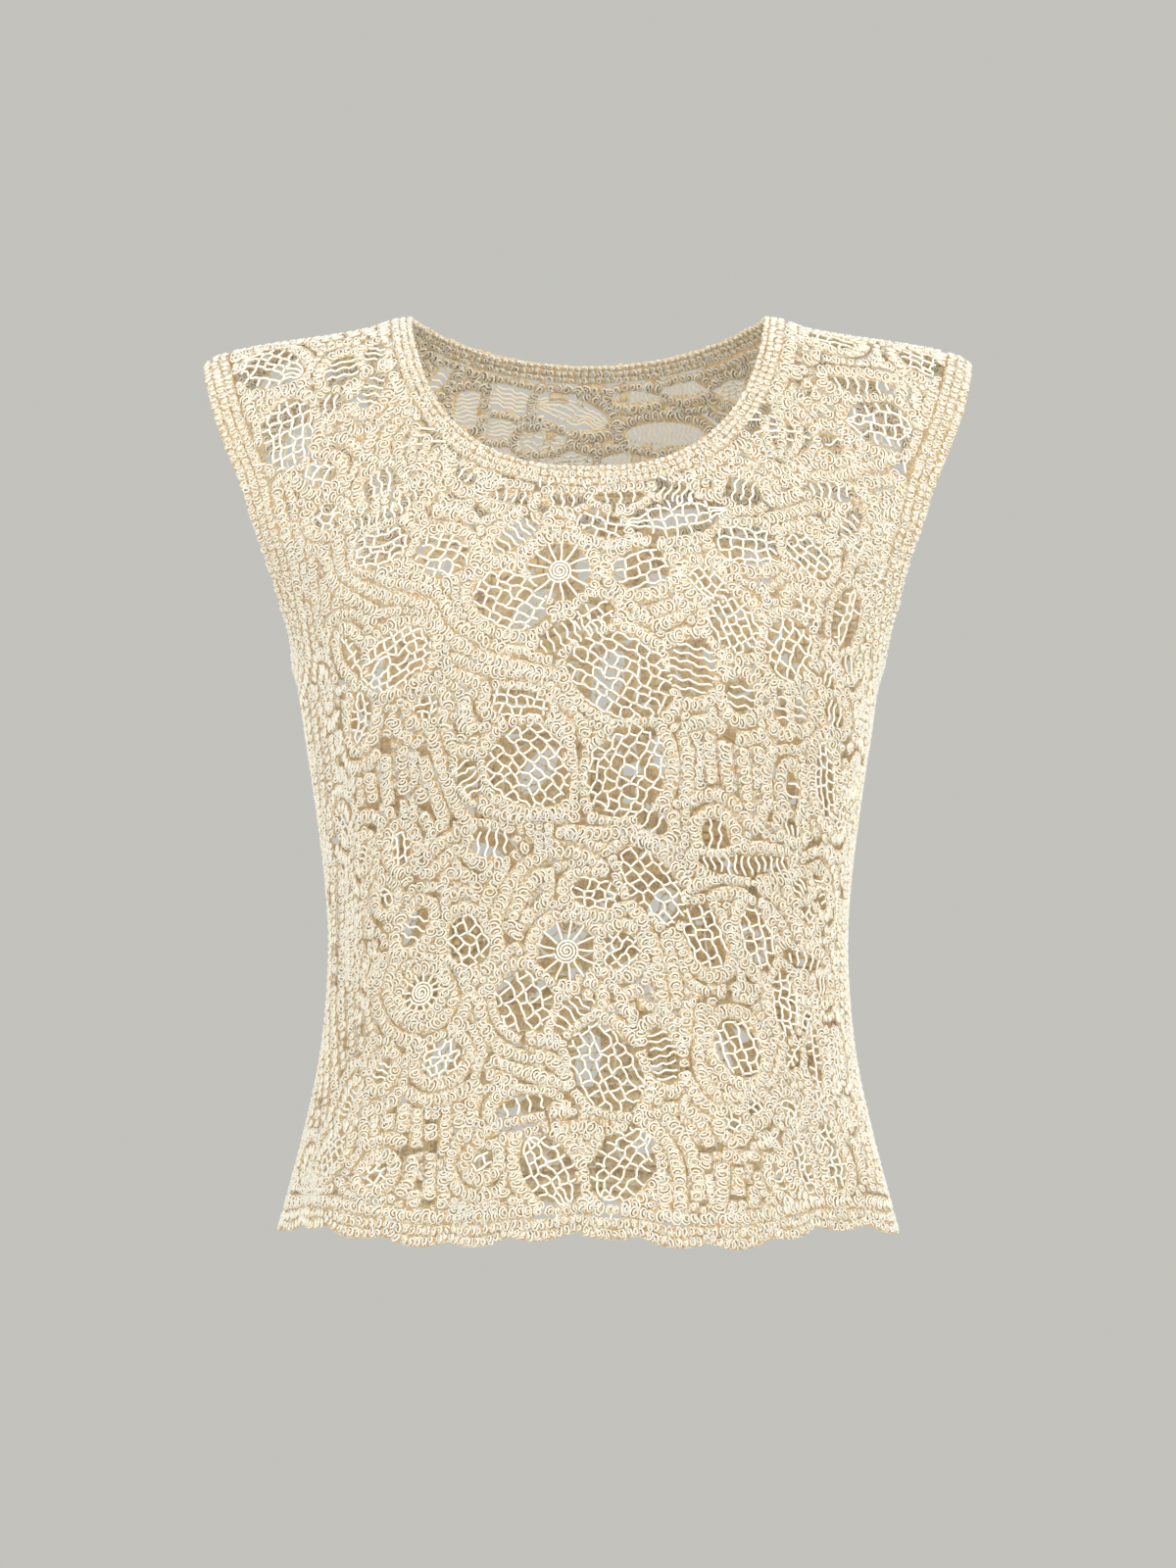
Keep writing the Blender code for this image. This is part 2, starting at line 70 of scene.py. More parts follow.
HEM_WAVE_START = -1.29
SCALLOP_START = 0.05

# One row for each section, from the shoulder ridge down, in millimetres.
# mid: height at the centre line; edge: height at the panel's edge; half: half the width;
# front, back: how far the section stands out at the centre line;
# left, right: how square the front turns to that side, as a superellipse power;
# turn: 1 where the edge is an open armhole, more where the cloth turns right round to the side.
LEVEL_COLUMNS = ("mid", "edge", "half", "front", "back", "left", "right", "turn")
LEVELS = (
    (6.5, -28.5, 223, 0, 0, 2.5, 2.5, 1.0),
    (4.5, -31, 223, 15, 15, 2.5, 2.5, 1.0),
    (-4, -38, 221.5, 32, 31, 2.5, 2.5, 1.0),
    (-20, -52, 217.5, 48, 47, 2.5, 2.5, 1.0),
    (-46, -74, 209.5, 63, 65, 2.5, 2.5, 1.0),
    (-80, -101, 198.5, 79, 80, 2.6, 2.6, 1.0),
    (-115, -130, 191, 94, 91, 2.8, 2.8, 1.3),
    (-150, -158, 193, 108, 99, 2.9, 3.0, 1.3),
    (-182, -185, 178.7, 117, 102, 2.6, 2.9, 1.95),
    (-210, -210, 168.7, 121, 102, 2.35, 2.7, 2.2),
    (-245, -245, 162.7, 119, 99, 2.1, 2.6, 2.3),
    (-285, -285, 156.7, 112, 94, 2.05, 2.6, 2.3),
    (-325, -325, 151.7, 105, 91, 2.05, 2.6, 2.3),
    (-360, -360, 149.5, 102, 93, 2.05, 2.6, 2.3),
    (-395, -395, 150.7, 102, 98, 2.1, 2.5, 2.2),
    (-430, -430, 154.7, 105, 106, 2.1, 2.4, 2.2),
    (-470, -470, 163.2, 112, 115, 2.1, 2.3, 2.1),
    (-510, -510, 173.7, 121, 123, 2.1, 2.2, 2.1),
    (-550, -550, 184.7, 130, 131, 2.1, 2.1, 2.1),
)

# The shoulder seam's line, in millimetres: how far out from the middle, and the height there.
SHOULDER_LINE = (
    (102, -0.5),
    (113, -2),
    (124, -6.2),
    (136, -8.8),
    (163, -13),
    (194, -17.6),
    (212, -21.8),
    (219, -25),
    (223, -29.5),
)
SHOULDER_FADE = 70 * MM  # distance from the seam within which the levels take up their own line

# Soft vertical folds: side, where across, the heights (mm) near which they start and end, half width
# across (mm), and how far the cloth stands out (+) or sinks (-) there (mm).
FOLDS = (
    ("front", -0.60, -120, -440, 26, 4.0),
    ("front", -0.76, -150, -470, 24, -4.5),
    ("front", 0.72, -170, -420, 18, 2.5),
    ("front", -0.62, -430, -700, 22, 6.5),
    ("front", -0.36, -440, -700, 24, -5.0),
    ("front", -0.12, -450, -700, 22, 3.5),
    ("front", 0.08, -445, -700, 24, -4.5),
    ("front", 0.34, -430, -700, 26, 6.0),
    ("front", 0.60, -440, -700, 22, -5.5),
    ("front", 0.82, -440, -700, 18, 4.5),
    ("front", -0.84, -445, -700, 18, -4.0),
    ("back", -0.66, -430, -700, 24, 6.0),
    ("back", -0.38, -445, -700, 24, -5.5),
    ("back", -0.06, -425, -700, 28, 6.0),
    ("back", 0.27, -445, -700, 22, -4.5),
    ("back", 0.55, -430, -700, 24, 6.0),
    ("back", 0.80, -445, -700, 20, -4.5),
)

FOLD_START = (10, 75)  # mm above and below a fold's top within which it grows to its full depth
FOLD_END = (60, 20)  # mm above and below a fold's bottom within which it dies away
FLAT_BY_SEAM = 0.12  # share of the half width beside a side seam over which the folds die away

# Mesh fineness of the surface and of the edges read off it
SURFACE_STEP = 4 * MM
SURFACE_COLUMNS = 181
SECTION_POINTS = 725
NECK_COLUMNS = 128
ARMHOLE_ROWS = 144
ARMHOLE_TRIES = 1200
HEM_STATIONS = 361
BAND_STATIONS = 9
WALK_STEPS = 6
SLOPE_ACROSS = 0.004
SLOPE_DOWN = 1 * MM
EDGE_SLOPE = 0.02

# The plan, in millimetres like everything drawn on it
PLAN_STEP = 2.0
PLAN_HALF_WIDTH = 272
PLAN_LENGTH = 640
RASTER_STEP = 1.0
RASTER_MARGIN = 12
FLOOD_ROUNDS = 7
NOISE_CELLS = 64
FAR = 1e4
TINY = 1e-9
GROUND = -1
EDGE_ROW = 4.6
OUTLINE_POINTS = 81

# Rows of stitches
FIRST_ROW = 4.3
ROW_GAP = 9.4
NEAR_ROWS = 2
UPRIGHT_GAP = 9.8
UPRIGHT_WAVE = 8.0
UPRIGHT_CELL = 60
MIDDLE_FROM = 8.0
ROW_STEP = 1.5
ROW_LEAST = 9.0
NARROW_LEAST = 6.0
ROW_SMOOTHING = 6
RIB_SMOOTHING = 60
ROW_WOBBLE = 1.6
ROW_WOBBLE_CELL = 17
PATCH_CELL = 26
PATCH_SHIFT = 37.0
CLOSE_FROM = 95
CLOSE_TO = 170
OPEN_GROUND = 0.84
CLOSE_GROUND = 1.0
INNER_REACH = 165
SLIT_CHANCE = 0.012
SLIT_STEPS = 4
CORE_HALF = 4.9
NARROW_CORE = 3.1
CORE_THICK = 0.12
CORE_STEP = 6.0
TURN_SHARE = 0.8
COVER = 4
NARROW_COVER = 3
PATCH_HALF = 3.4
PATCH_ROOM = 12

# One stitch: a curl of yarn, in mm, and in turns from its heart outwards
FRONT_STITCH = dict(pitch=4.8, wide=2.7, half=3.4, yarn=0.56, turns=1.8, points=14)
BACK_STITCH = dict(pitch=4.9, wide=2.7, half=3.4, yarn=0.6, turns=1.7, points=11)
NARROW_STITCH = dict(pitch=4.4, wide=2.3, half=2.6, yarn=0.56, turns=1.7, points=11)
BAND_STITCH = dict(pitch=4.1, wide=1.9, half=2.6, yarn=0.6, turns=1.5, points=9)
STITCH_SIDES = 3
STITCH_HEART = 0.3
STITCH_OPENS = 1.5
STITCH_UNEVEN = 0.28
STITCH_SLIDE = 0.5
STITCH_STRETCH = 0.35
STITCH_REACH = 1.3
STITCH_SWING = 0.5
STITCH_TILT = 0.55
STITCH_LIFT = 0.55
STITCH_LEAN = 0.35
STITCH_TUCK = 0.3

# How each panel is worked: its stitches, the share of its open ground that is worked, and how far down
# (mm) there are stitches on its inner face and on the patches between its rows
FRONT_STYLE = dict(stitch=FRONT_STITCH, ground=OPEN_GROUND, inner_reach=0, patch_reach=PLAN_LENGTH)
BACK_STYLE = dict(stitch=BACK_STITCH, ground=CLOSE_GROUND, inner_reach=INNER_REACH, patch_reach=0)

# Rungs, nets and roses
RUNG_START = 3.5
RUNG_LONGEST = 20.0
RUNG_LEAST = 2
RUNG_GAP = 2.4
RUNG_CLEAR = 3
RUNG_TUCK = 3
NET_YARN = 0.62
NET_GAP = 6.2
NET_STEP = 2.0
NET_WAVE = 0.4
NET_SWAY = 1.7
NET_TUCK = 1.6
BAR_SHARE = 1.15
BAR_POINTS = 5
BAR_LEAST = 3.0
BAR_SLIDE = 0.8
BAR_SLANT = 1.6
BAR_BULGE = 1.0
BAR_LEFT_OUT = 0.1
STRAND_SWAY = 0.7
STRAND_LIFT = 0.3
# The share of the painted shade that plain strands take
STRAND_SHADE = 0.5
RUNG_SWAY = 1.1
RUNG_STEP = 1.6
SWAY_CELL = 6
LADDER_WAVE = 0.8
LADDER_WAVE_LENGTH = 9.0
COLUMN_GAP = 9.0
COLUMN_LENGTH = 0.86
ROSE_DISC = 6.6
ROSE_PITCH = 1.9
ROSE_HEART = 0.6
ROSE_POINTS = 12
ROSE_LIFT = 0.5
ROSE_YARN = 0.6
ROSE_SPOKES = 13

# The rows of each edging: where each lies from the first edge and half its width, in millimetres. On
# the scalloped hem a row lies at a share of the edging's depth.
NECK_ROWS = ((1.7, 1.8), (5.7, 2.8), (9.8, 2.8))
ARMHOLE_BAND_ROWS = ((2.6, 3.0), (8.0, 3.2), (13.4, 3.2))
HEM_ROWS = ((0.27, 3.6), (0.75, 3.4))

# The shapes of a motif's ends, as the powers of its outline's curve along it and across it
ENDS = dict(pointed=(2, 1), round=(2, 2), square=(5, 5))

# Yarn: its own cream in random patches, and the colours of the painted shade where it lies deep, in the
# cores' lines and on the inner face
YARN_SIDES = 4
# Painted shade on the yarn: full within DEEP mm of the middle of the cloth, gone past SURFACE_LEVEL mm,
# shaped by a power, with only a share of it on the outer face
DEEP = 0.1
SURFACE_LEVEL = 1.3
DEEP_POWER = 0.9
OUTER_SHADE_SHARE = 0.9
YARN_LIGHT = (0.87, 0.90, 0.85, 1)
YARN_WARM = (0.86, 0.865, 0.77, 1)
# Colours of the painted shade: on the outer face, in the cores' lines, and on the inner face, which lies in
# shade
OUTER_PAINTED_SHADE = (0.90, 0.64, 0.36, 1)
CORE_PAINTED_SHADE = (0.50, 0.335, 0.165, 1)
INNER_PAINTED_SHADE = (0.82, 0.63, 0.39, 1)
YARN_SHADER = {
    "Roughness": 0.85,
    "Specular IOR Level": 0.25,
    "Sheen Weight": 0.15,
    "Sheen Roughness": 0.6,
    "Subsurface Weight": 0.3,
    "Subsurface Radius": (1.0, 0.75, 0.45),
    "Subsurface Scale": 0.0015,
}
COLOUR_PATCHES = 9.0
FIBRE_SCALE = 1400.0
FIBRE_STRENGTH = 0.35
FIBRE_DEPTH = 0.0003
# The cores' winding lines: cream yarn with brown painted shade between, on a bump of this depth, fainter on
# the inner face
LOWER_SCALE = 300.0
LOWER_TWIST = 0.6
LOWER_LINES = 4.5
LOWER_HALF_WAVE = 0.5
LOWER_FROM = 0.10
LOWER_TO = 0.55
CORE_LINE_SHADE = 1.0
LOWER_DEPTH = 0.00015
INNER_LINES = 0.45

# The motifs of each panel, in millimetres and degrees: what fills it, x and height of its middle as seen
# from the front, its length, width and turn from level on the cloth, the gap between its strands, its
# ends, how much wider it is towards one end, and how far it is bent. What is usual may be left off the end.
FRONT_MOTIFS = (
    ("leaf", -182, -31, 44, 30, -35, NET_GAP, "round", -0.3),
    ("net", -172, -71, 44, 30, 95),
    ("ladder", -141, -33, 20, 20, 90, 4.5),
    ("ladder", -146, -54, 16, 10, -15, 5.5),
    ("ladder", -124, -24, 16, 12, 60, 4.5),
    ("ladder", -123, -47, 22, 13, 65, 4.5),
    ("columns", -96, -78, 40, 34, 80, NET_GAP, "pointed", 0.25),
    ("ladder", -70, -98, 16, 7, -50),
    ("ladder", -44, -108, 26, 7, -12, 5),
    ("net", -153, -95, 21, 14, -25),
    ("ladder", -117, -101, 20, 14, 10, 5, "square"),
    ("ladder", -115, -115, 46, 8, 8, 4.5, "round", 0, 4),
    ("net", -149, -120, 20, 14, -40),
    ("net", -118, -138, 34, 26),
    ("net", -82, -142, 32, 26, -25),
    ("net", -44, -168, 44, 31, -30),
    ("ladder", -40, -131, 34, 13, 38, 4.5),
    ("rose", -15, -152, 34, 34),
    ("ladder", -8, -189, 46, 13, 25, 5, "round", 0, -3),
    ("net", -108, -201, 44, 30, 20, 5),
    ("net", -37, -226, 36, 15, -8, 5),
    ("ladder", 18, -109, 30, 7, 2, 7),
    ("ladder", -14, -110, 24, 7, -3, 6),
    ("ladder", 48, -105, 28, 13, -20, 4),
    ("leaf", 50, -120, 62, 24, 16, 6, "pointed"),
    ("ladder", 88, -106, 20, 14, -15, 5, "square"),
    ("net", 8, -125, 28, 15, -15),
    ("net", 30, -151, 33, 24, 15),
    ("net", 4, -177, 24, 15, 30),
    ("net", 19, -210, 62, 44, -28),
    ("ladder", 58, -206, 33, 27, 82, 4.5),
    ("ladder", 86, -222, 20, 15, 85, 5),
    ("net", 89, -137, 38, 25, 8),
    ("net", 125, -142, 33, 25, -35),
    ("net", 67, -159, 26, 14, -40, 5),
    ("net", 81, -182, 34, 26, -62, 5),
    ("net", 114, -196, 36, 30, 70),
    ("net", 121, -170, 15, 13, 0, 5),
    ("leaf", 146, -176, 37, 20, 78),
    ("net", 166, -152, 22, 10, 70, 5),
    ("net", 153, -138, 11, 8, 60, 4),
    ("net", 173, -129, 16, 12, 80, 5),
    ("columns", 106, -70, 38, 40, 95, NET_GAP, "pointed", 0.25),
    ("ladder", 139, -76, 14, 11, -60),
    ("leaf", 167, -66, 40, 27, 15, NET_GAP, "round", 0.2),
    ("ladder", 156, -41, 42, 9, 10, NET_GAP, "round", 0, 3),
    ("net", 140, -15, 28, 16, -5),
    ("net", 197, -30, 38, 20, -12),
    ("ladder", 137, -104, 32, 9, 12, 5),
    ("ladder", 148, -125, 24, 8, 60, 5),
    ("net", -31, -262, 52, 42, -48, NET_GAP, "round", -0.25),
    ("net", 22, -263, 56, 42, 66, NET_GAP, "round", -0.2),
    ("ladder", -67, -268, 26, 13, -62, 4.5),
    ("ladder", 36, -293, 20, 13, -30),
    ("ladder", 72, -300, 16, 18),
    ("net", 37, -327, 52, 26, -50),
    ("ladder", 88, -312, 58, 10, 12, 4.5, "round", 0, 4),
    ("ladder", 115, -274, 20, 9, 90),
    ("net", 134, -270, 42, 13, 95, 5),
    ("ladder", 108, -229, 21, 8, 90, 5),
    ("ladder", 120, -228, 18, 10, 85, 5),
    ("ladder", 140, -232, 16, 14, -10, 4),
    ("ladder", 136, -212, 12, 8, -30, 4),
    ("ladder", 148, -203, 13, 8, 10, 4),
    ("net", 152, -267, 15, 8, 70, 4.5),
    ("net", 144, -291, 17, 9, 60, 4.5),
    ("ladder", 116, -297, 14, 6, 10, 4),
    ("ladder", 120, -329, 14, 6, 50, 4),
    ("ladder", 133, -333, 20, 6, 110, 4),
    ("net", 124, -346, 11, 9, 60, 4),
    ("rose", -13, -364, 32, 32),
    ("net", 4, -332, 28, 17, -12, 5),
    ("net", 19, -364, 22, 20, 40, 5),
    ("net", 66, -356, 38, 23, -68),
    ("net", 96, -358, 36, 19, -72),
    ("net", 112, -396, 38, 15, -84, 5),
    ("net", 84, -421, 34, 27, -70),
    ("rose", -94, -388, 20, 20),
    ("ladder", -97, -351, 22, 14, 60),
    ("net", -68, -359, 32, 22, -58),
    ("net", -36, -393, 38, 29, -60),
    ("ladder", -8, -399, 32, 12, 42, 4.5),
    ("net", 10, -431, 54, 36, -60),
    ("ladder", 42, -424, 34, 15, -76, 4.5),
    ("net", -82, -426, 26, 20, 15, 5),
    ("ladder", -36, -452, 34, 10, 8),
    ("leaf", -22, -488, 44, 28, -58),
    ("leaf", 20, -484, 46, 32, 58),
    ("net", -60, -482, 14, 12, 20),
    ("net", -146, -482, 34, 16, 35, 5),
    ("net", -120, -492, 16, 12, 40, 5),
    ("ladder", 122, -372, 30, 9, 0, 5),
    ("ladder", 133, -386, 9, 14, 0, 3),
    ("net", 124, -407, 16, 6, 75, 4),
    ("leaf", 116, -427, 18, 8, 60, 4),
    ("leaf", 129, -428, 38, 11, -78, 4.5),
    ("net", 142, -428, 24, 5, -85, 4),
    ("net", 132, -451, 17, 8, -60, 4),
    ("net", 114, -454, 16, 9, -15, 4.5),
    ("net", 94, -453, 12, 9, 40, 4.5),
    ("net", 82, -461, 14, 9, 70, 4.5),
    ("net", 147, -459, 9, 5, -70, 4),
    ("net", 136, -471, 16, 11, -50, 5),
    ("net", 121, -487, 32, 11, -65, 5),
    ("net", 142, -490, 26, 12, -75, 5),
    ("ladder", 108, -494, 18, 5, -60, 4),
    ("leaf", -133, -197, 26, 10, -62, 4.5),
    ("net", -91, -227, 16, 12, 0, 5),
    ("leaf", -128, -234, 28, 15, 85, 5),
    ("ladder", -148, -217, 15, 6, -70, 4),
    ("ladder", -54, -304, 26, 17, -5, 5.5),
    ("net", -139, -295, 16, 8, -50, 4.5),
    ("net", -106, -307, 20, 10, -75, 5),
    ("ladder", -128, -310, 14, 5, 60, 4),
    ("net", -115, -335, 14, 7, -70, 4.5),
    ("net", -124, -376, 12, 5, 60, 4),
    ("ladder", -116, -434, 16, 10, 60, 4.5),
    ("ladder", -136, -454, 22, 7, 62, 4),
    ("net", -160, -491, 12, 7, 60, 4),
)

# Lines that a pair of rows follows across the ground, each past places (x, height) like the motifs'
FRONT_RIBS = (
    ((63, -121), (92, -121), (121, -112), (148, -98), (180, -90)),
    ((159, -112), (146, -132), (143, -152), (132, -172), (131, -198), (116, -219), (98, -226)),
    (
        (-138, -122), (-135, -150), (-112, -162), (-88, -166),
        (-77, -184), (-62, -195), (-40, -201), (-16, -206),
    ),
    ((-76, -205), (-55, -212), (-28, -214), (-12, -232), (-5, -238), (-4, -262), (-3, -288)),
    ((-84, -238), (-78, -258), (-70, -286), (-44, -294), (-16, -294), (10, -296), (34, -292)),
    ((-92, -318), (-78, -306), (-56, -296), (-30, -302), (-12, -304)),
    (
        (-57, -352), (-52, -331), (-37, -313), (-16, -304), (5, -308),
        (20, -322), (34, -346), (42, -362), (46, -392),
    ),
    ((48, -346), (58, -333), (79, -328), (100, -333), (113, -348), (120, -368)),
    ((-58, -392), (-54, -412), (-38, -422), (-20, -419), (-12, -428)),
    ((-52, -430), (-32, -440), (-12, -444), (2, -460), (18, -464)),
    ((-58, -470), (-42, -464), (-16, -460), (10, -458), (34, -464), (46, -482), (48, -508)),
    ((60, -398), (58, -420), (60, -440), (72, -452), (86, -452)),
    ((-112, -372), (-118, -390), (-110, -408), (-94, -415), (-76, -406), (-70, -390), (-78, -374)),
)

BACK_MOTIFS = (
    ("ladder", -88, -32, 22, 9, 50, 4.5),
    ("ladder", -71, -47, 22, 14, 85, 2.8, "square"),
    ("ladder", -46, -43, 17, 24, 65, 2.8, "square"),
    ("ladder", -52, -60, 13, 16, 85, 2.8, "square"),
    ("leaf", -10, -50, 48, 18, -20, 3.2),
    ("net", -28, -67, 28, 11, -8, 3.2),
    ("ladder", -54, -76, 22, 13, -20, 2.8),
    ("net", -16, -80, 36, 12, 5, 3.4),
    ("ladder", 27, -42, 26, 7, 6, 2.8),
    ("ladder", 58, -37, 22, 8, 16, 2.8),
    ("net", 85, -37, 20, 12, 35, 3.4),
    ("ladder", 46, -62, 48, 15, 6, 3.0),
    ("ladder", 26, -80, 36, 10, -5, 2.8),
    ("leaf", 184, -37, 38, 24, -30),
    ("net", 174, -84, 40, 24, 85),
    ("ladder", 140, -44, 24, 13, 70),
    ("columns", 118, -88, 42, 36, 85, NET_GAP, "pointed", 0.25),
    ("leaf", -178, -35, 40, 25, 30),
    ("net", -170, -78, 38, 26, 95),
    ("ladder", -136, -47, 26, 12, 110),
    ("columns", -118, -94, 42, 34, 95, NET_GAP, "pointed", 0.25),
    ("rose", 8, -140, 30, 30),
    ("net", -44, -118, 40, 16, -28, 5),
    ("ladder", 52, -112, 36, 10, 20, 5),
    ("leaf", 50, -156, 34, 16, -35, 5),
    ("leaf", -34, -168, 36, 16, 42, 5),
    ("net", -92, -148, 34, 16, 70, 5),
    ("net", 102, -142, 32, 16, 100, 5),
    ("ladder", -142, -134, 30, 8, 78, 5),
    ("net", 12, -208, 38, 18, 72, 5.5),
    ("ladder", -72, -212, 26, 12, 24, 5),
    ("ladder", 80, -200, 26, 12, -32, 5),
    ("net", -126, -208, 32, 10, 80, 5),
    ("net", 128, -226, 34, 10, 96, 5),
    ("leaf", -30, -262, 34, 16, 52, 5),
    ("leaf", 48, -258, 34, 16, 118, 5),
    ("net", -94, -268, 28, 12, -66, 5),
    ("ladder", 4, -306, 26, 10, -10, 5),
    ("net", 98, -290, 30, 13, -104, 5),
    ("ladder", -62, -312, 28, 8, -28, 5),
    ("rose", -12, -354, 28, 28),
    ("leaf", 44, -346, 30, 14, 56, 5),
    ("net", -106, -352, 30, 11, 82, 5),
    ("net", -54, -388, 30, 14, 36, 5),
    ("ladder", 36, -396, 28, 10, -40, 5),
    ("rose", 98, -366, 22, 22),
    ("net", 0, -438, 34, 15, 80, 5),
    ("leaf", -88, -436, 34, 14, 62, 5),
    ("net", 78, -432, 32, 14, 114, 5),
    ("leaf", -42, -478, 34, 16, -36, 5),
    ("leaf", 42, -484, 34, 16, 30, 5),
    ("net", -136, -464, 36, 10, -72, 5),
    ("net", 130, -468, 36, 10, 70, 5),
)

BACK_RIBS = (
    ((-150, -118), (-120, -128), (-70, -98), (-30, -96), (20, -100), (70, -94), (120, -126), (160, -112)),
    ((-110, -186), (-70, -188), (-20, -190), (36, -184), (78, -180), (108, -176)),
    ((-60, -232), (-10, -236), (30, -232), (70, -234), (104, -258)),
    ((-100, -330), (-60, -334), (-38, -330), (-14, -326), (16, -328), (40, -322), (80, -326)),
    ((-80, -408), (-30, -412), (20, -418), (60, -408), (96, -400)),
    ((-70, -462), (-20, -460), (20, -462), (70, -462)),
)

# Studio
BACKGROUND = (0.545, 0.540, 0.505, 1)
CAMERA_DISTANCE = 3.0
CAMERA_HEIGHT = -0.271
CAMERA_LENS = 118.4
FLOOR_HEIGHT = -2.4
FLOOR_RADIUS = 9.0
FLOOR_COLOUR = (0.88, 0.875, 0.83, 1)
FLOOR_SIDES = 64

# Each light: its name, place, size across and watts
LIGHTS = (
    ("key", (2.0, -2.1, 0.9), 3.0, 88),
    ("fill", (-2.3, -1.7, 0.5), 3.0, 62),
    ("back", (0.6, 2.6, 1.0), 2.5, 46),
)
LIGHTS_AIM = Vector((0, 0, -0.25))

# Seeds of the random draws
BANDS_SEED = 11
FRONT_SEED = 3
BACK_SEED = 5


def column(name):
    return np.array([level[LEVEL_COLUMNS.index(name)] for level in LEVELS], float)


def smooth(at, knots, values):
    """A smooth curve through values[k] at knots[k], read at each of at."""
    slopes = np.gradient(values, knots)
    k = np.clip(np.searchsorted(knots, at, side="right") - 1, 0, len(knots) - 2)
    gap = knots[k + 1] - knots[k]
    s = (at - knots[k]) / gap
    start = (1 + 2 * s) * (1 - s) ** 2 * values[k] + s * (1 - s) ** 2 * gap * slopes[k]
    end = s**2 * (3 - 2 * s) * values[k + 1] + s**2 * (s - 1) * gap * slopes[k + 1]
    return start + end


def fade(value, start, end):
    """0 before start, 1 past end, smoothly between."""
    s = np.clip((value - start) / (end - start), 0, 1)
    return s * s * (3 - 2 * s)


def unit(vectors):
    return vectors / np.maximum(np.linalg.norm(vectors, axis=-1, keepdims=True), TINY)


def read_between(grid, rows, columns, row_at, column_at):
    """A grid with these places of its rows and columns, read at places between them."""
    row = np.interp(row_at, rows, np.arange(len(rows)))
    col = np.interp(column_at, columns, np.arange(len(columns)))
    r = np.clip(row.astype(int), 0, len(rows) - 2)
    c = np.clip(col.astype(int), 0, len(columns) - 2)
    a, b = (row - r)[..., None], (col - c)[..., None]
    near = grid[r, c] * (1 - b) + grid[r, c + 1] * b
    far = grid[r + 1, c] * (1 - b) + grid[r + 1, c + 1] * b
    return near * (1 - a) + far * a


def distances(points):
    """The distance from the first point to each, along the points."""
    return np.concatenate([[0], np.linalg.norm(np.diff(points, axis=0), axis=1).cumsum()])


def armhole_reach(height, front):
    """How far the armhole's edge lies from the side line at this height: rounded at both ends."""
    tip, bottom = -SHOULDER_TIP_DROP, -UNDERARM_DROP
    share = np.clip((tip - height) / (tip - bottom), 0, 1)
    widest_at = ARMHOLE_TOP_POWER / (ARMHOLE_TOP_POWER + ARMHOLE_BOTTOM_POWER)
    widest = widest_at**ARMHOLE_TOP_POWER * (1 - widest_at) ** ARMHOLE_BOTTOM_POWER
    reach = np.where(front, ARMHOLE_REACH_FRONT, ARMHOLE_REACH_BACK)
    return reach * share**ARMHOLE_TOP_POWER * (1 - share) ** ARMHOLE_BOTTOM_POWER / widest


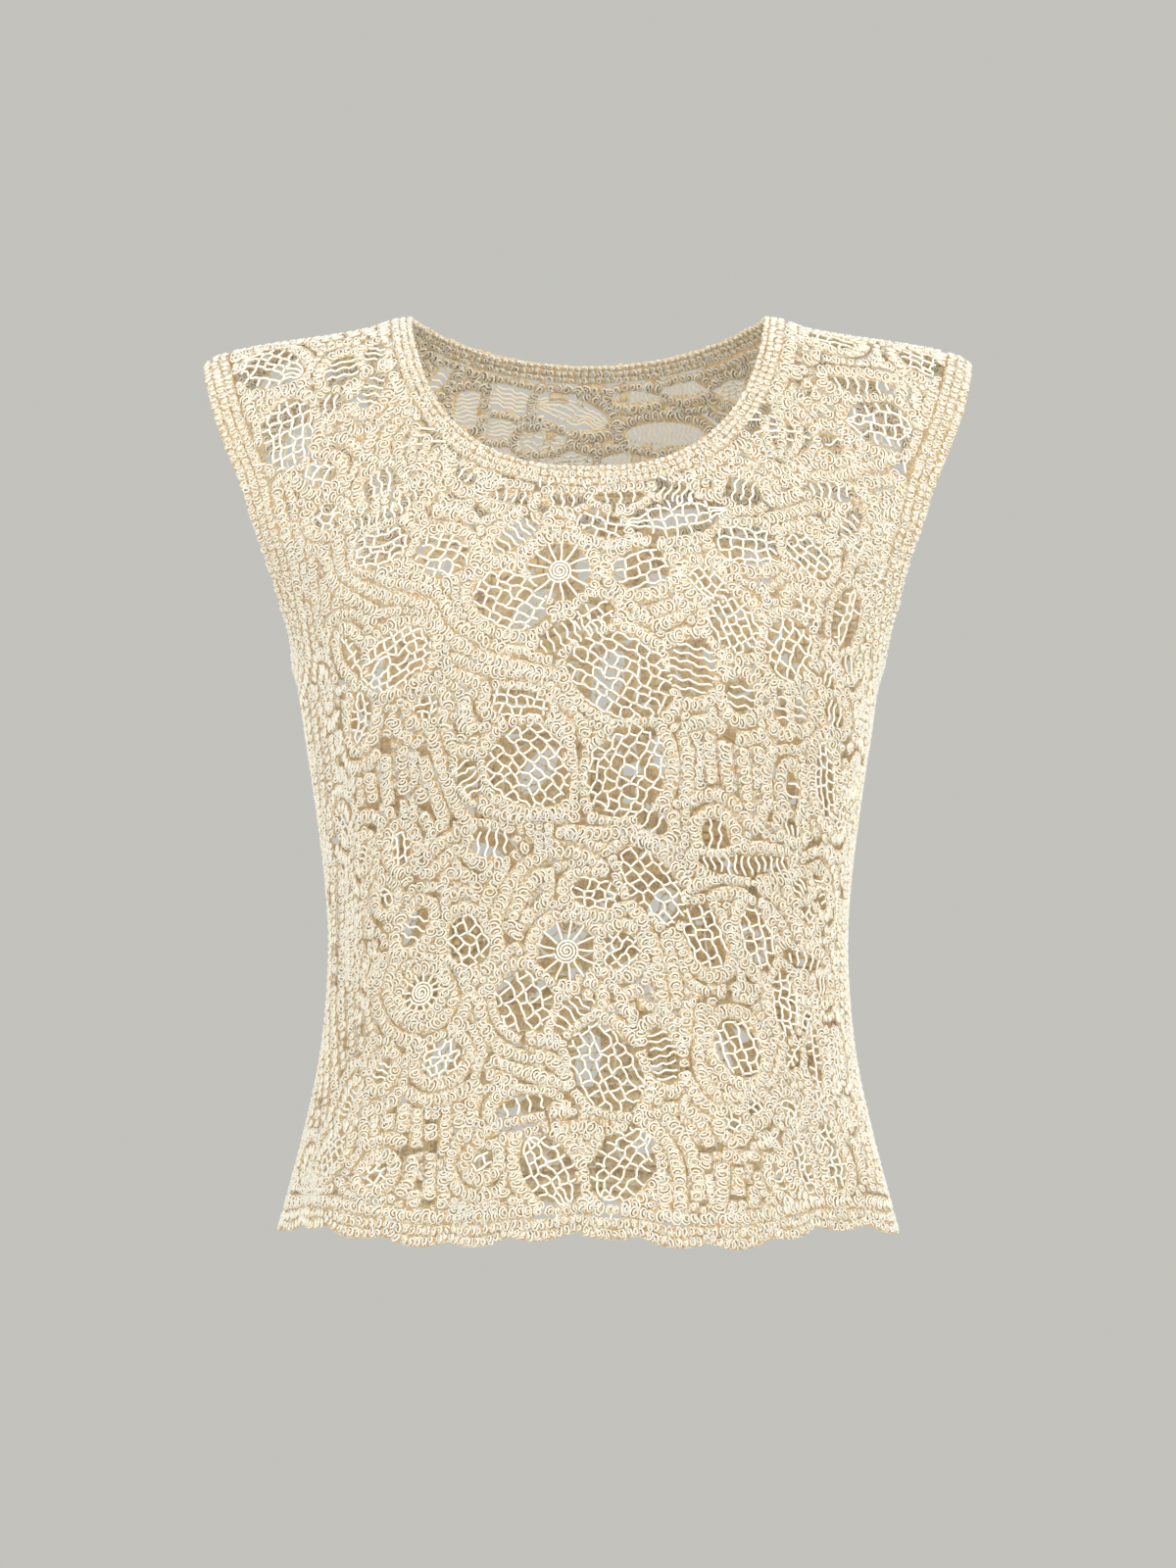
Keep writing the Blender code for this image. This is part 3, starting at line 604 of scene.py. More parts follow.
class Surface:
    """The garment's mid-surface, as a fine grid of points over (down, across)."""

    def __init__(self):
        self.lay_levels()
        self.lay_points()
        self.add_folds()
        self.lay_normals()

    def lay_levels(self):
        """Puts the levels in one row from the back hem over the shoulder ridge to the front hem, with
        the distance along the cloth to each."""
        heights = column("mid") * MM
        profile_front = np.stack([column("front") * MM, heights], axis=1)
        profile_back = np.stack([column("back") * MM, heights], axis=1)
        self.knots = np.concatenate([-distances(profile_back)[:0:-1], distances(profile_front)])
        back_rows = slice(None, 0, -1)
        self.rows = {
            name: np.concatenate([column(name)[back_rows], column(name)])
            for name in ("mid", "edge", "left", "right", "turn")
        }
        self.rows["out"] = np.concatenate([column("back")[back_rows], -column("front")])
        steps = int((self.knots[-1] - self.knots[0]) / SURFACE_STEP)
        self.down = np.linspace(self.knots[0], self.knots[-1], steps)
        self.across = np.linspace(-1, 1, SURFACE_COLUMNS)

    def read(self, name):
        return smooth(self.down, self.knots, self.rows[name])[:, None]

    def lay_points(self):
        """Each row's section, then the same section with its points spread evenly along the cloth."""
        share = np.sin(np.linspace(-np.pi / 2, np.pi / 2, SECTION_POINTS))[None, :]
        front = self.down[:, None] > 0
        edge = self.read("edge") * MM
        middle = self.read("mid") * MM
        near_seam = 1 - fade(abs(self.down[:, None]), 0, SHOULDER_FADE)
        height = middle + (edge - middle) * share**2 + self.shoulder_offset(share) * near_seam
        closing = 1 - fade(-edge, SIDE_TURN_START, UNDERARM_DROP)
        reach = np.where(front, -1, 1) * armhole_reach(edge, front) * closing
        plain = (self.read("left") + self.read("right")) / 2
        power = np.where(share < 0, self.read("left"), self.read("right"))
        power = np.where(front, power, plain)
        rise = np.clip(1 - np.abs(share) ** power, 0, 1) ** (1 / self.read("turn"))
        y = reach + (self.read("out") * MM - reach) * rise
        half = smooth(-edge / MM, -column("edge"), column("half"))
        x = half * MM * share
        section = np.stack(np.broadcast_arrays(x, y, height), axis=2)
        self.points = np.empty((len(self.down), SURFACE_COLUMNS, 3))
        self.half_lengths = np.empty((len(self.down), 2))
        centre = SECTION_POINTS // 2
        for row, points in enumerate(section):
            run = distances(points)
            left, right = run[centre], run[-1] - run[centre]
            wanted = np.where(self.across < 0, left + self.across * left, left + self.across * right)
            self.half_lengths[row] = left, right
            for axis in range(3):
                self.points[row, :, axis] = np.interp(wanted, run, points[:, axis])

    def shoulder_offset(self, share):
        """How far the shoulder seam's line lies above the plain curve of the first level."""
        mid, edge, half = (column(name)[0] for name in ("mid", "edge", "half"))
        plain = mid + (edge - mid) * share**2
        out, line = np.array(SHOULDER_LINE, float).T
        offset = smooth(np.clip(np.abs(share) * half, out[0], None), out, line) - plain
        return np.where(np.abs(share) * half > out[0], offset, 0) * MM

    def add_folds(self):
        normals = self.normals_of(self.points)
        height = self.points[:, :, 2] / MM
        lengths = np.where(self.across < 0, self.half_lengths[:, :1], self.half_lengths[:, 1:]) / MM
        out = np.zeros(height.shape)
        for side, across, top, bottom, half, depth in FOLDS:
            on_side = (self.down[:, None] > 0) == (side == "front")
            away = (self.across - across) * lengths / half
            begun = fade(-height, -top - FOLD_START[0], -top + FOLD_START[1])
            ended = fade(-height, -bottom - FOLD_END[0], -bottom + FOLD_END[1])
            out += on_side * depth * np.exp(-(away**2)) * begun * (1 - ended)
        off_seam = fade(1 - np.abs(self.across), 0, FLAT_BY_SEAM)
        self.points += normals * (out * off_seam * MM)[:, :, None]

    def normals_of(self, points):
        down = np.gradient(points, self.down, axis=0)
        across = np.gradient(points, self.across, axis=1)
        return unit(np.cross(down, across))

    def lay_normals(self):
        """At the side seam both panels' walls face straight out, so that their edges stay parallel."""
        self.normals = self.normals_of(self.points)
        closed = self.points[:, 0, 2] < -UNDERARM_DROP
        for edge in (0, -1):
            self.normals[closed, edge, 1] = 0
        self.normals = unit(self.normals)

    def at(self, across, down):
        return read_between(self.points, self.down, self.across, down, across)

    def normal(self, across, down):
        return unit(read_between(self.normals, self.down, self.across, down, across))

    def walk(self, across, down, direction, distance):
        """The places reached by walking this far over the surface, each in its own 3-D direction."""
        half = np.sign(down)
        on_seam = (np.abs(across) == 1) & (self.at(across, down)[:, 2] < -UNDERARM_DROP)
        start = across
        step = distance / WALK_STEPS
        for _ in range(WALK_STEPS):
            here = self.at(across, down)
            normal = self.normal(across, down)
            direction = unit(direction - normal * (direction * normal).sum(axis=-1, keepdims=True))
            inward = np.where(across > 0, -SLOPE_ACROSS, SLOPE_ACROSS)
            by_across = (self.at(across + inward, down) - here) / inward[..., None]
            below, above = (self.at(across, down + way * SLOPE_DOWN) for way in (1, -1))
            by_down = (below - above) / (2 * SLOPE_DOWN)
            aa = (by_across**2).sum(-1)
            dd = (by_down**2).sum(-1)
            ad = (by_across * by_down).sum(-1)
            wa = (by_across * direction).sum(-1)
            wd = (by_down * direction).sum(-1)
            det = aa * dd - ad * ad
            across = np.clip(across + step * (wa * dd - wd * ad) / det, -1, 1)
            across = np.where(on_seam, start, across)
            down = down + step * (wd * aa - wa * ad) / det
            down = np.where(half > 0, np.maximum(down, 0), np.where(half < 0, np.minimum(down, 0), down))
        return across, down

    def across_at(self, x, down):
        """The place across at which each row reaches this x."""
        fine = np.linspace(-1, 1, SECTION_POINTS)
        found = [np.interp(a, self.at(fine, np.full(len(fine), d))[:, 0], fine) for a, d in zip(x, down)]
        return np.array(found)

    def across_at_depth(self, down, side, front):
        """The place across, towards one side, at which each row has come round to the armhole's edge."""
        fine = np.linspace(side, 0, SURFACE_COLUMNS)
        found = []
        for d in down:
            line = self.at(fine, np.full(len(fine), d))
            past = np.abs(line[:, 1]) - armhole_reach(line[:, 2], front)
            inside = np.argmax(past > 0) if (past > 0).any() else 0
            if inside == 0:
                found.append(side)
                continue
            share = past[inside] / (past[inside] - past[inside - 1])
            found.append(fine[inside] + share * (fine[inside - 1] - fine[inside]))
        return np.array(found, float)

    def down_at_height(self, across, height, front):
        """The distance down to this height, on the front or the back."""
        rows = np.flatnonzero(self.down > 0) if front else np.flatnonzero(self.down < 0)[::-1]
        result = np.empty(len(across))
        for i, (a, z) in enumerate(zip(across, height)):
            line = self.at(np.full(len(rows), a), self.down[rows])[:, 2]
            result[i] = np.interp(-z, -line, self.down[rows])
        return result


def ring_ways(surface, across, down):
    """At each place of a closed edge, the direction over the cloth that is square to the edge."""
    points = surface.at(across, down)
    along = np.roll(points, -1, axis=0) - np.roll(points, 1, axis=0)
    return np.cross(surface.normal(across, down), along)


def facing(ways, wanted):
    """ways, turned round if they point against wanted."""
    return ways if (ways * wanted).sum() > 0 else -ways


def both_halves(front, back):
    """A closed ring: down the front from its first place to its last, and back by the back's."""
    return np.concatenate([front, back[-2:0:-1]])


def neck_edge(surface):
    """The neck opening's edge as (across, down), from the right shoulder over the front to the left,
    and round the back."""
    halves = []
    for front, drop, power in (
        (True, NECK_DROP_FRONT, NECK_CURVE_FRONT),
        (False, NECK_DROP_BACK, NECK_CURVE_BACK),
    ):
        lowest = surface.down_at_height(np.zeros(1), np.array([-drop]), front)[0]
        turn = np.linspace(0, np.pi, NECK_COLUMNS + 1)
        x = NECK_HALF_WIDTH * np.sign(np.cos(turn)) * np.abs(np.cos(turn)) ** (2 / power)
        down = lowest * np.sin(turn) ** (2 / power)
        down[[0, -1]] = 0
        halves.append((surface.across_at(x, down), down))
    return [both_halves(f, b) for f, b in zip(*halves)]


def armhole_edge(surface, side):
    """The armhole's edge as (across, down), from the shoulder tip down the front to the underarm, and
    up the back. side is -1 or 1."""
    halves = []
    for front in (True, False):
        underarm = surface.down_at_height(np.array([side * 1.0]), np.array([-UNDERARM_DROP]), front)[0]
        fine = np.linspace(0, underarm, ARMHOLE_TRIES)
        across = surface.across_at_depth(fine, side, front)
        points = surface.at(across, fine)
        run = distances(points)
        wanted = np.linspace(0, run[-1], ARMHOLE_ROWS + 1)
        halves.append([np.interp(wanted, run, values) for values in (across, fine)])
    return [both_halves(f, b) for f, b in zip(*halves)]


def hem_turn(across, front):
    """The angle round the garment, from the middle of the front."""
    quarter = np.pi / 2
    return across * quarter if front else np.pi - across * quarter


def hem_line(surface, across, front):
    """The distance down to the panels' lower edge."""
    down = surface.down_at_height(across, np.full(len(across), -HEM_DROP), front)
    wave = HEM_WAVE_HEIGHT * np.sin(HEM_WAVES * hem_turn(across, front) + HEM_WAVE_START)
    return down + (wave if front else -wave)


def half_of(surface, ring, steps, front):
    """One half of a ring's places, from its first place to its last, told on that half's own side."""
    across, down = ring
    order = np.arange(steps + 1) if front else -np.arange(steps + 1) % len(across)
    half = np.stack([across[order], down[order]], axis=1)
    if not front and half[-1, 1] > 0:
        height = surface.at(half[-1:, 0], half[-1:, 1])[:, 2]
        half[-1, 1] = surface.down_at_height(half[-1:, 0], height, front)[0]
    return half


class Noise:
    """Smooth random values between -1 and 1 over a plan, changing over about one cell."""

    def __init__(self, seed, cell):
        self.values = np.random.default_rng(seed).uniform(-1, 1, (NOISE_CELLS, NOISE_CELLS))
        self.cell = cell

    def __call__(self, at):
        scaled = at / self.cell
        low = np.floor(scaled).astype(int)
        share = scaled - low
        share = share * share * (3 - 2 * share)
        corner = [low % NOISE_CELLS, (low + 1) % NOISE_CELLS]
        total = 0
        for i, along in ((0, 1 - share[..., 0]), (1, share[..., 0])):
            for j, down in ((0, 1 - share[..., 1]), (1, share[..., 1])):
                total = total + self.values[corner[i][..., 0], corner[j][..., 1]] * along * down
        return total


class Plan:
    """A flat plan laid on the worn cloth. u runs across and v down, in millimetres."""

    def lay(self, u, v, points, normals):
        self.u, self.v, self.points, self.normals = u, v, points, normals

    def place(self, at, height):
        """Places in space for plan places, and the way out of the cloth at each."""
        laid, out = (
            read_between(grid, self.u, self.v, at[:, 0], at[:, 1]) for grid in (self.points, self.normals)
        )
        out = unit(out)
        return laid + out * (height * MM)[:, None], out


class PanelPlan(Plan):
    """The plan of a whole panel: u is measured along the cloth from the centre line, and v along the
    cloth from the shoulder ridge."""

    def __init__(self, surface, front):
        self.surface = surface
        self.sign = 1 if front else -1
        depth = surface.down[-1] if front else -surface.down[0]
        self.downs = np.arange(0, depth / MM, PLAN_STEP) * MM
        self.columns = np.linspace(-1, 1, SURFACE_COLUMNS)
        across, down = np.meshgrid(self.columns, self.sign * self.downs, indexing="ij")
        points = surface.at(across, down)
        steps = np.linalg.norm(np.diff(points, axis=1), axis=2).cumsum(axis=1)
        self.runs = np.pad(steps, ((0, 0), (1, 0))) / MM
        u = np.arange(-PLAN_HALF_WIDTH, PLAN_HALF_WIDTH + 1, PLAN_STEP)
        v = np.arange(0, PLAN_LENGTH, PLAN_STEP)
        downs = np.array([np.interp(v, run, self.downs) for run in self.runs]) * self.sign
        spread = self.half_length(self.columns[:, None], downs) * self.columns[:, None]
        place_across = np.empty((len(u), len(v)))
        place_down = np.empty((len(u), len(v)))
        for k in range(len(v)):
            place_across[:, k] = np.interp(u, spread[:, k], self.columns)
            place_down[:, k] = np.interp(u, spread[:, k], downs[:, k])
            for end in (0, -1):
                past = (u - spread[end, k]) * self.columns[end] > 0
                place_across[past, k] = u[past] / abs(spread[end, k])
        inner = np.clip(place_across, -1, 1)
        edge = np.sign(place_across)
        slope = surface.at(edge, place_down) - surface.at(edge * (1 - EDGE_SLOPE), place_down)
        beyond = (np.abs(place_across) - np.abs(inner))[..., None]
        laid = surface.at(inner, place_down) + slope * beyond / EDGE_SLOPE
        self.lay(u, v, laid, surface.normal(inner, place_down))

    def half_length(self, across, down):
        left, right = (np.interp(down, self.surface.down, self.surface.half_lengths[:, k]) for k in (0, 1))
        return np.where(across < 0, left, right) / MM

    def of_surface(self, across, down):
        """Plan places of places on the surface."""
        col = np.interp(across, self.columns, np.arange(len(self.columns)))
        low = np.clip(col.astype(int), 0, len(self.columns) - 2)
        share = col - low
        near, far = (
            np.array([np.interp(abs(d), self.downs, self.runs[c]) for c, d in zip(low + k, down)])
            for k in (0, 1)
        )
        v = near * (1 - share) + far * share
        return np.stack([across * self.half_length(across, down), v], axis=1)

    def spot(self, x, height):
        """The plan place that lies this far (mm) out from the middle, at this height."""
        seen = self.points[:, :, [0, 2]] / MM
        away = ((seen - np.array([x, height])) ** 2).sum(axis=2)
        i, k = np.unravel_index(away.argmin(), away.shape)
        return np.array([self.u[i], self.v[k]])


class BandPlan(Plan):
    """The plan of a ring of edging: u runs round the ring, v across it from its first edge."""

    def __init__(self, surface, stations, widths):
        points = np.stack([surface.at(a, d) for a, d in stations], axis=1)
        normals = np.stack([surface.normal(a, d) for a, d in stations], axis=1)
        points, normals = (np.concatenate([grid, grid[:1]]) for grid in (points, normals))
        self.round = distances(points[:, len(widths) // 2]) / MM
        self.lay(self.round, widths, points, normals)


def edge_plan(surface, edge, width, outward_from):
    """The plan of a band worked along an edge, and the panel's edge beyond it."""
    across, down = edge
    points = surface.at(across, down)
    ways = facing(ring_ways(surface, across, down), points - outward_from)
    widths = np.linspace(0, width / MM, BAND_STATIONS)
    stations = [surface.walk(across, down, ways, w * MM) for w in widths]
    return BandPlan(surface, stations, widths), surface.walk(across, down, ways, width + SEAM_GAP)


def hem_lobes(across, front):
    """How deep the hem edging is, round the hem."""
    lobes = np.abs(np.sin(SCALLOPS / 2 * (hem_turn(across, front) + SCALLOP_START)))
    return HEM_EDGING - SCALLOP_DEPTH * (1 - lobes)


def hem_plan(surface):
    """The plan of the hem edging, and its depth at each place round it."""
    across = np.linspace(-1, 1, HEM_STATIONS)
    widths = np.linspace(0, HEM_EDGING / MM, BAND_STATIONS)
    stations = [[[], []] for _ in widths]
    depth = []
    for front in (True, False):
        sign = 1 if front else -1
        top = sign * hem_line(surface, across, front) + SEAM_GAP
        order = slice(0, -1) if front else slice(-1, 0, -1)
        depth.append(hem_lobes(across, front)[order] / MM)
        for station, w in zip(stations, widths):
            station[0].append(across[order])
            station[1].append((sign * (top + w * MM))[order])
    stations = [(np.concatenate(a), np.concatenate(d)) for a, d in stations]
    depth = np.concatenate(depth)
    return BandPlan(surface, stations, widths), np.append(depth, depth[0])


def panel_outline(plan, neck, armholes, front):
    """The closed outline of a panel on its plan."""
    surface = plan.surface
    sign = 1 if front else -1
    top = half_of(surface, neck, NECK_COLUMNS, front)
    left, right = (half_of(surface, armholes[s], ARMHOLE_ROWS, front) for s in (-1, 1))
    left[-1, 0], right[-1, 0] = -1, 1
    hem_across = np.linspace(-1, 1, HEM_STATIONS)
    hem = np.stack([hem_across, hem_line(surface, hem_across, front)], axis=1)
    left_seam = np.linspace(left[-1], hem[0], HEM_STATIONS)
    right_seam = np.linspace(hem[-1], right[-1], HEM_STATIONS)
    places = np.concatenate([right[::-1], top, left, left_seam, hem, right_seam])
    places[:, 1] = sign * np.maximum(sign * places[:, 1], 0)
    return along_line(close(plan.of_surface(places[:, 0], places[:, 1])), RASTER_STEP)


def close(line):
    return np.concatenate([line, line[:1]])


def along_line(line, step):
    """The same line with its points at an even step."""
    run = distances(line)
    keep = np.concatenate([[True], np.diff(run) > 0])
    wanted = np.linspace(0, run[-1], max(2, int(round(run[-1] / step)) + 1))
    return np.stack([np.interp(wanted, run[keep], line[keep, k]) for k in (0, 1)], axis=1)


def smoothed(line, closed, rounds):
    """The line with its small steps rounded off, its ends kept."""
    for _ in range(rounds):
        if closed:
            ring = line[:-1]
            line = close((np.roll(ring, 1, axis=0) + 2 * ring + np.roll(ring, -1, axis=0)) / 4)
        else:
            line = np.concatenate([line[:1], (line[:-2] + 2 * line[1:-1] + line[2:]) / 4, line[-1:]])
    return line


def directions(line):
    """The way along the line at each point, and the way to its left on the plan."""
    along = unit(np.gradient(line, axis=0))
    return along, np.stack([-along[:, 1], along[:, 0]], axis=1)


class Motif:
    """A netted hole of the lace: an outline about an axis that may be bent, and what fills it."""

    def __init__(
        self, plan, fill, x, height, long, wide, turn=0, gap=NET_GAP, ends="round", egg=0, bend=0
    ):
        self.fill, self.gap = fill, gap
        self.centre = plan.spot(x, height)
        self.long, self.wide, self.egg, self.bend = long, wide, egg, bend
        self.powers = ENDS[ends]
        angle = np.radians(turn)
        self.axis = np.array([np.cos(angle), -np.sin(angle)])
        self.side = np.array([-self.axis[1], self.axis[0]])

    def half_width(self, s):
        """Half the motif's width at s along its axis."""
        share = np.clip(2 * s / self.long, -1, 1)
        p, q = self.powers
        return self.wide / 2 * (1 - np.abs(share) ** p) ** (1 / q) * (1 + self.egg * share)

    def lay(self, s, t):
        """Plan places from places along and across the motif's own axis."""
        t = t + self.bend * (1 - (2 * s / self.long) ** 2)
        return self.centre + s[..., None] * self.axis + t[..., None] * self.side

    def holds(self, at):
        away = at - self.centre
        s = away @ self.axis
        t = away @ self.side - self.bend * (1 - (2 * s / self.long) ** 2)
        return (np.abs(s) < self.long / 2) & (np.abs(t) < self.half_width(s))

    def outline(self):
        s = self.long / 2 * np.sin(np.linspace(-np.pi / 2, np.pi / 2, OUTLINE_POINTS))
        w = self.half_width(s)
        there_and_back = self.lay(np.append(s, s[-2:0:-1]), np.append(w, -w[-2:0:-1]))
        return along_line(close(there_and_back), RASTER_STEP)


def rib_line(plan, places):
    """A smooth line on the plan past these places of the garment."""
    line = along_line(np.array([plan.spot(*place) for place in places]), RASTER_STEP)
    return smoothed(line, False, RIB_SMOOTHING)


class Lace:
    """The lace of one panel, drawn on its plan: motifs, the rows of stitches round them and the rungs
    across what is left open between rows."""

    def __init__(self, plan, outline, motifs, ribs, seed, stitch, ground, inner_reach, patch_reach):
        self.plan, self.motifs, self.stitch, self.ground = plan, motifs, stitch, ground
        self.inner_reach, self.patch_reach = inner_reach, patch_reach
        self.random = np.random.default_rng(seed)
        self.sway = Noise(seed + 1, SWAY_CELL)
        self.patches = Noise(seed + 2, PATCH_CELL)
        self.wobble = Noise(seed + 3, ROW_WOBBLE_CELL)
        self.upright = Noise(seed + 4, UPRIGHT_CELL)
        self.low = np.floor(outline.min(axis=0)) - RASTER_MARGIN
        self.shape = tuple((np.ceil(outline.max(axis=0)) + RASTER_MARGIN - self.low).astype(int))
        cells = np.stack(np.meshgrid(*(np.arange(n) for n in self.shape), indexing="ij"), axis=2)
        self.cells = cells + self.low
        self.panel = self.filled(outline)
        from_edge, _ = self.nearest([outline])
        self.kept_off = self.panel & (from_edge > EDGE_ROW)
        self.owner = np.full(self.shape, GROUND)
        for k in reversed(range(len(motifs))):
            self.owner[motifs[k].holds(self.cells) & self.kept_off] = k
        lines = [motif.outline() for motif in motifs]
        for k, line in enumerate(lines):
            owner = self.at(self.owner, line)
            lines[k] = line[self.at(self.kept_off, line) & ((owner == GROUND) | (owner == k))]
        for rib in ribs:
            lines.append(rib[self.at(self.kept_off & (self.owner == GROUND), rib)])
        self.distance, self.closest = self.nearest([*lines, outline])
        self.by_edge = self.closest == len(lines)
        self.covered = ~self.panel | (self.owner != GROUND)
        self.stitches, self.cores, self.strands, self.rows = [], [], [], []

    def at(self, grid, places):
        """The raster's values at plan places."""
        cells = np.round(places - self.low).astype(int)
        i, k = (np.clip(cells[..., a], 0, self.shape[a] - 1) for a in (0, 1))
        return grid[i, k]

    def filled(self, outline):
        """Which cells of the raster lie inside a closed outline."""
        inside = np.zeros(self.shape, bool)
        line = outline - self.low
        across = np.arange(self.shape[0])
        for a, b in zip(line[:-1], line[1:]):
            low, high = sorted((a[1], b[1]))
            for k in range(int(np.ceil(low)), int(np.ceil(high))):
                crossing = a[0] + (b[0] - a[0]) * (k - a[1]) / (b[1] - a[1])
                inside[across > crossing, k] ^= True
        return inside

    def nearest(self, lines):
        """How far each cell is from the nearest of the lines, and which line that is, by jump flooding."""
        near = np.full(self.shape + (3,), FAR)
        for number, line in enumerate(lines):
            i, k = np.round(line - self.low).astype(int).T
            near[i, k, :2] = line
            near[i, k, 2] = number
        best = ((near[..., :2] - self.cells) ** 2).sum(axis=2)
        steps = [2**n for n in range(FLOOD_ROUNDS, -1, -1)] + [1]
        for step in steps:
            for du in (-step, 0, step):
                for dv in (-step, 0, step):
                    here = tuple(slice(max(d, 0), n + min(d, 0)) for d, n in zip((du, dv), self.shape))
                    there = tuple(slice(max(-d, 0), n + min(-d, 0)) for d, n in zip((du, dv), self.shape))
                    found = near[there]
                    away = ((found[..., :2] - self.cells[here]) ** 2).sum(axis=2)
                    better = away < best[here]
                    best[here][better] = away[better]
                    near[here][better] = found[better]
        return np.sqrt(best), near[..., 2]

    def contours(self, field, level):
        """Lines along which the raster field has this value."""
        above = field > level
        size = field.size
        index = np.arange(size).reshape(self.shape)
        crossed_u = above[:-1] != above[1:]
        crossed_v = above[:, :-1] != above[:, 1:]
        edges = np.stack(
            [
                np.where(crossed_u[:, :-1], index[:-1, :-1], -1),
                np.where(crossed_v[1:], index[1:, :-1] + size, -1),
                np.where(crossed_u[:, 1:], index[:-1, 1:], -1),
                np.where(crossed_v[:-1], index[:-1, :-1] + size, -1),
            ],
            axis=2,
        )
        links = {}
        for i, k in np.argwhere((edges >= 0).any(axis=2)):
            ids = [e for e in edges[i, k] if e >= 0]
            for a, b in zip(ids[::2], ids[1::2]):
                links.setdefault(a, []).append(b)
                links.setdefault(b, []).append(a)
        lines = []
        ends = [e for e, near in links.items() if len(near) == 1]
        for start in ends + list(links):
            if start not in links:
                continue
            chain = [start]
            while links.get(chain[-1]):
                here = chain[-1]
                following = links[here].pop()
                if following in links and here in links[following]:
                    links[following].remove(here)
                chain.append(following)
            for e in chain:
                links.pop(e, None)
            if len(chain) > 2:
                lines.append(self.crossings(field, level, np.array(chain), size))
        return lines

    def crossings(self, field, level, chain, size):
        """Where the field has this value on each of these raster edges."""
        down = chain >= size
        i, k = np.divmod(np.where(down, chain - size, chain), self.shape[1])
        here, there = field[i, k], field[i + ~down, k + down]
        share = (level - here) / np.where(there == here, 1, there - here)
        return np.stack([i + share * ~down, k + share * down], axis=1) + self.low

    def work(self):
        """Fills the motifs, then works everything round them."""
        for motif in self.motifs:
            FILLS[motif.fill](self, motif)
        self.work_rows()
        self.work_narrows()
        self.work_patches()
        self.work_rungs()

    def work_rows(self):
        """Rows of stitches round the motifs and along the panel's edges, and upright rows on the ground
        that lies beyond them."""
        open_ground = (self.owner == GROUND) & self.panel
        wobble = self.wobble(self.cells) * ROW_WOBBLE * fade(self.distance, ROW_GAP, 2 * ROW_GAP)
        field = np.where(open_ground, self.distance + wobble, 0)
        for k in range(NEAR_ROWS):
            for line in self.contours(field, FIRST_ROW + k * ROW_GAP):
                closed = np.linalg.norm(line[0] - line[-1]) < 2 * RASTER_STEP
                if closed:
                    line = close(line[:-1])
                line = along_line(smoothed(line, closed, ROW_SMOOTHING), ROW_STEP)
                kept = np.ones(len(line), bool)
                if k:
                    kept = self.worked(line, k) & self.unbroken(line) & ~self.at(self.by_edge, line)
                self.tape_runs(line, kept, ROW_LEAST)
        high = self.low + self.shape
        v = np.arange(self.low[1], high[1], ROW_STEP)
        for k, u in enumerate(np.arange(self.low[0], high[0], UPRIGHT_GAP)):
            line = np.stack([np.full_like(v, u), v], axis=1)
            line[:, 0] += self.upright(line) * UPRIGHT_WAVE
            near_rows = np.where(self.at(self.by_edge, line), 1, NEAR_ROWS)
            beyond = self.at(field, line) > FIRST_ROW + (near_rows - 0.5) * ROW_GAP
            worked = self.worked(line, k) | (k % 2 == 0)
            self.tape_runs(line, beyond & worked & self.unbroken(line), ROW_LEAST)

    def worked(self, line, number):
        """Where along a line its row is worked; elsewhere the ground is left open for rungs."""
        return self.patches(line + number * PATCH_SHIFT) < self.density(line)

    def unbroken(self, line):
        """True along a line, save at a few short slits."""
        kept = np.ones(len(line), bool)
        for start in np.flatnonzero(self.random.random(len(line)) < SLIT_CHANCE):
            kept[start : start + SLIT_STEPS] = False
        return kept

    def work_narrows(self):
        """A row between any two motifs, or a motif and the edge, that lie too close for rows of their own
        or just too far apart for the rows that follow each of them."""
        for k in range(len(self.motifs)):
            for line in self.contours((self.closest == k).astype(float), 0.5):
                line = along_line(smoothed(line, False, ROW_SMOOTHING), ROW_STEP)
                _, left = directions(line)
                sides = [self.at(self.closest, line + left * way) for way in (ROW_STEP, -ROW_STEP)]
                other = np.max(sides, axis=0)
                between = (np.min(sides, axis=0) == k) & (other > k)
                away = self.at(self.distance, line)
                middle = (away > MIDDLE_FROM) & (away < FIRST_ROW + ROW_GAP) & self.worked(line, k)
                kept = between & ((away < FIRST_ROW) | middle) & (self.at(self.owner, line) == GROUND)
                self.tape_runs(line, kept, NARROW_LEAST, narrow=True)

    def density(self, at):
        """The share of every second row that is worked, as a bound on the patches' noise: the ground is
        closer worked towards the sides and shoulders."""
        across = fade(np.abs(at[..., 0]), CLOSE_FROM, CLOSE_TO)
        return self.ground + (CLOSE_GROUND - self.ground) * across

    def tape_runs(self, line, kept, least, narrow=False):
        """Rows wherever kept is true along a line, if they are long enough."""
        for run in runs_of(kept):
            if (run.stop - run.start) * ROW_STEP >= least:
                self.tape(line[run], narrow)

    def tape(self, line, narrow):
        """A row of stitches on its core, along a line, on both faces where the inner one is seen."""
        stitch = NARROW_STITCH if narrow else self.stitch
        self.stitches += stitches_along(line, self.random, 1, **stitch)
        for run in runs_of(line[:, 1] < self.inner_reach):
            if run.stop - run.start > 2:
                self.stitches += stitches_along(line[run], self.random, -1, **stitch)
        self.cores.append(core_along(line, NARROW_CORE if narrow else CORE_HALF))
        cover = NARROW_COVER if narrow else COVER
        for at in line:
            i, k = np.round(at - self.low).astype(int)
            self.covered[i - cover : i + cover + 1, k - cover : k + cover + 1] = True
        self.rows.append(line)

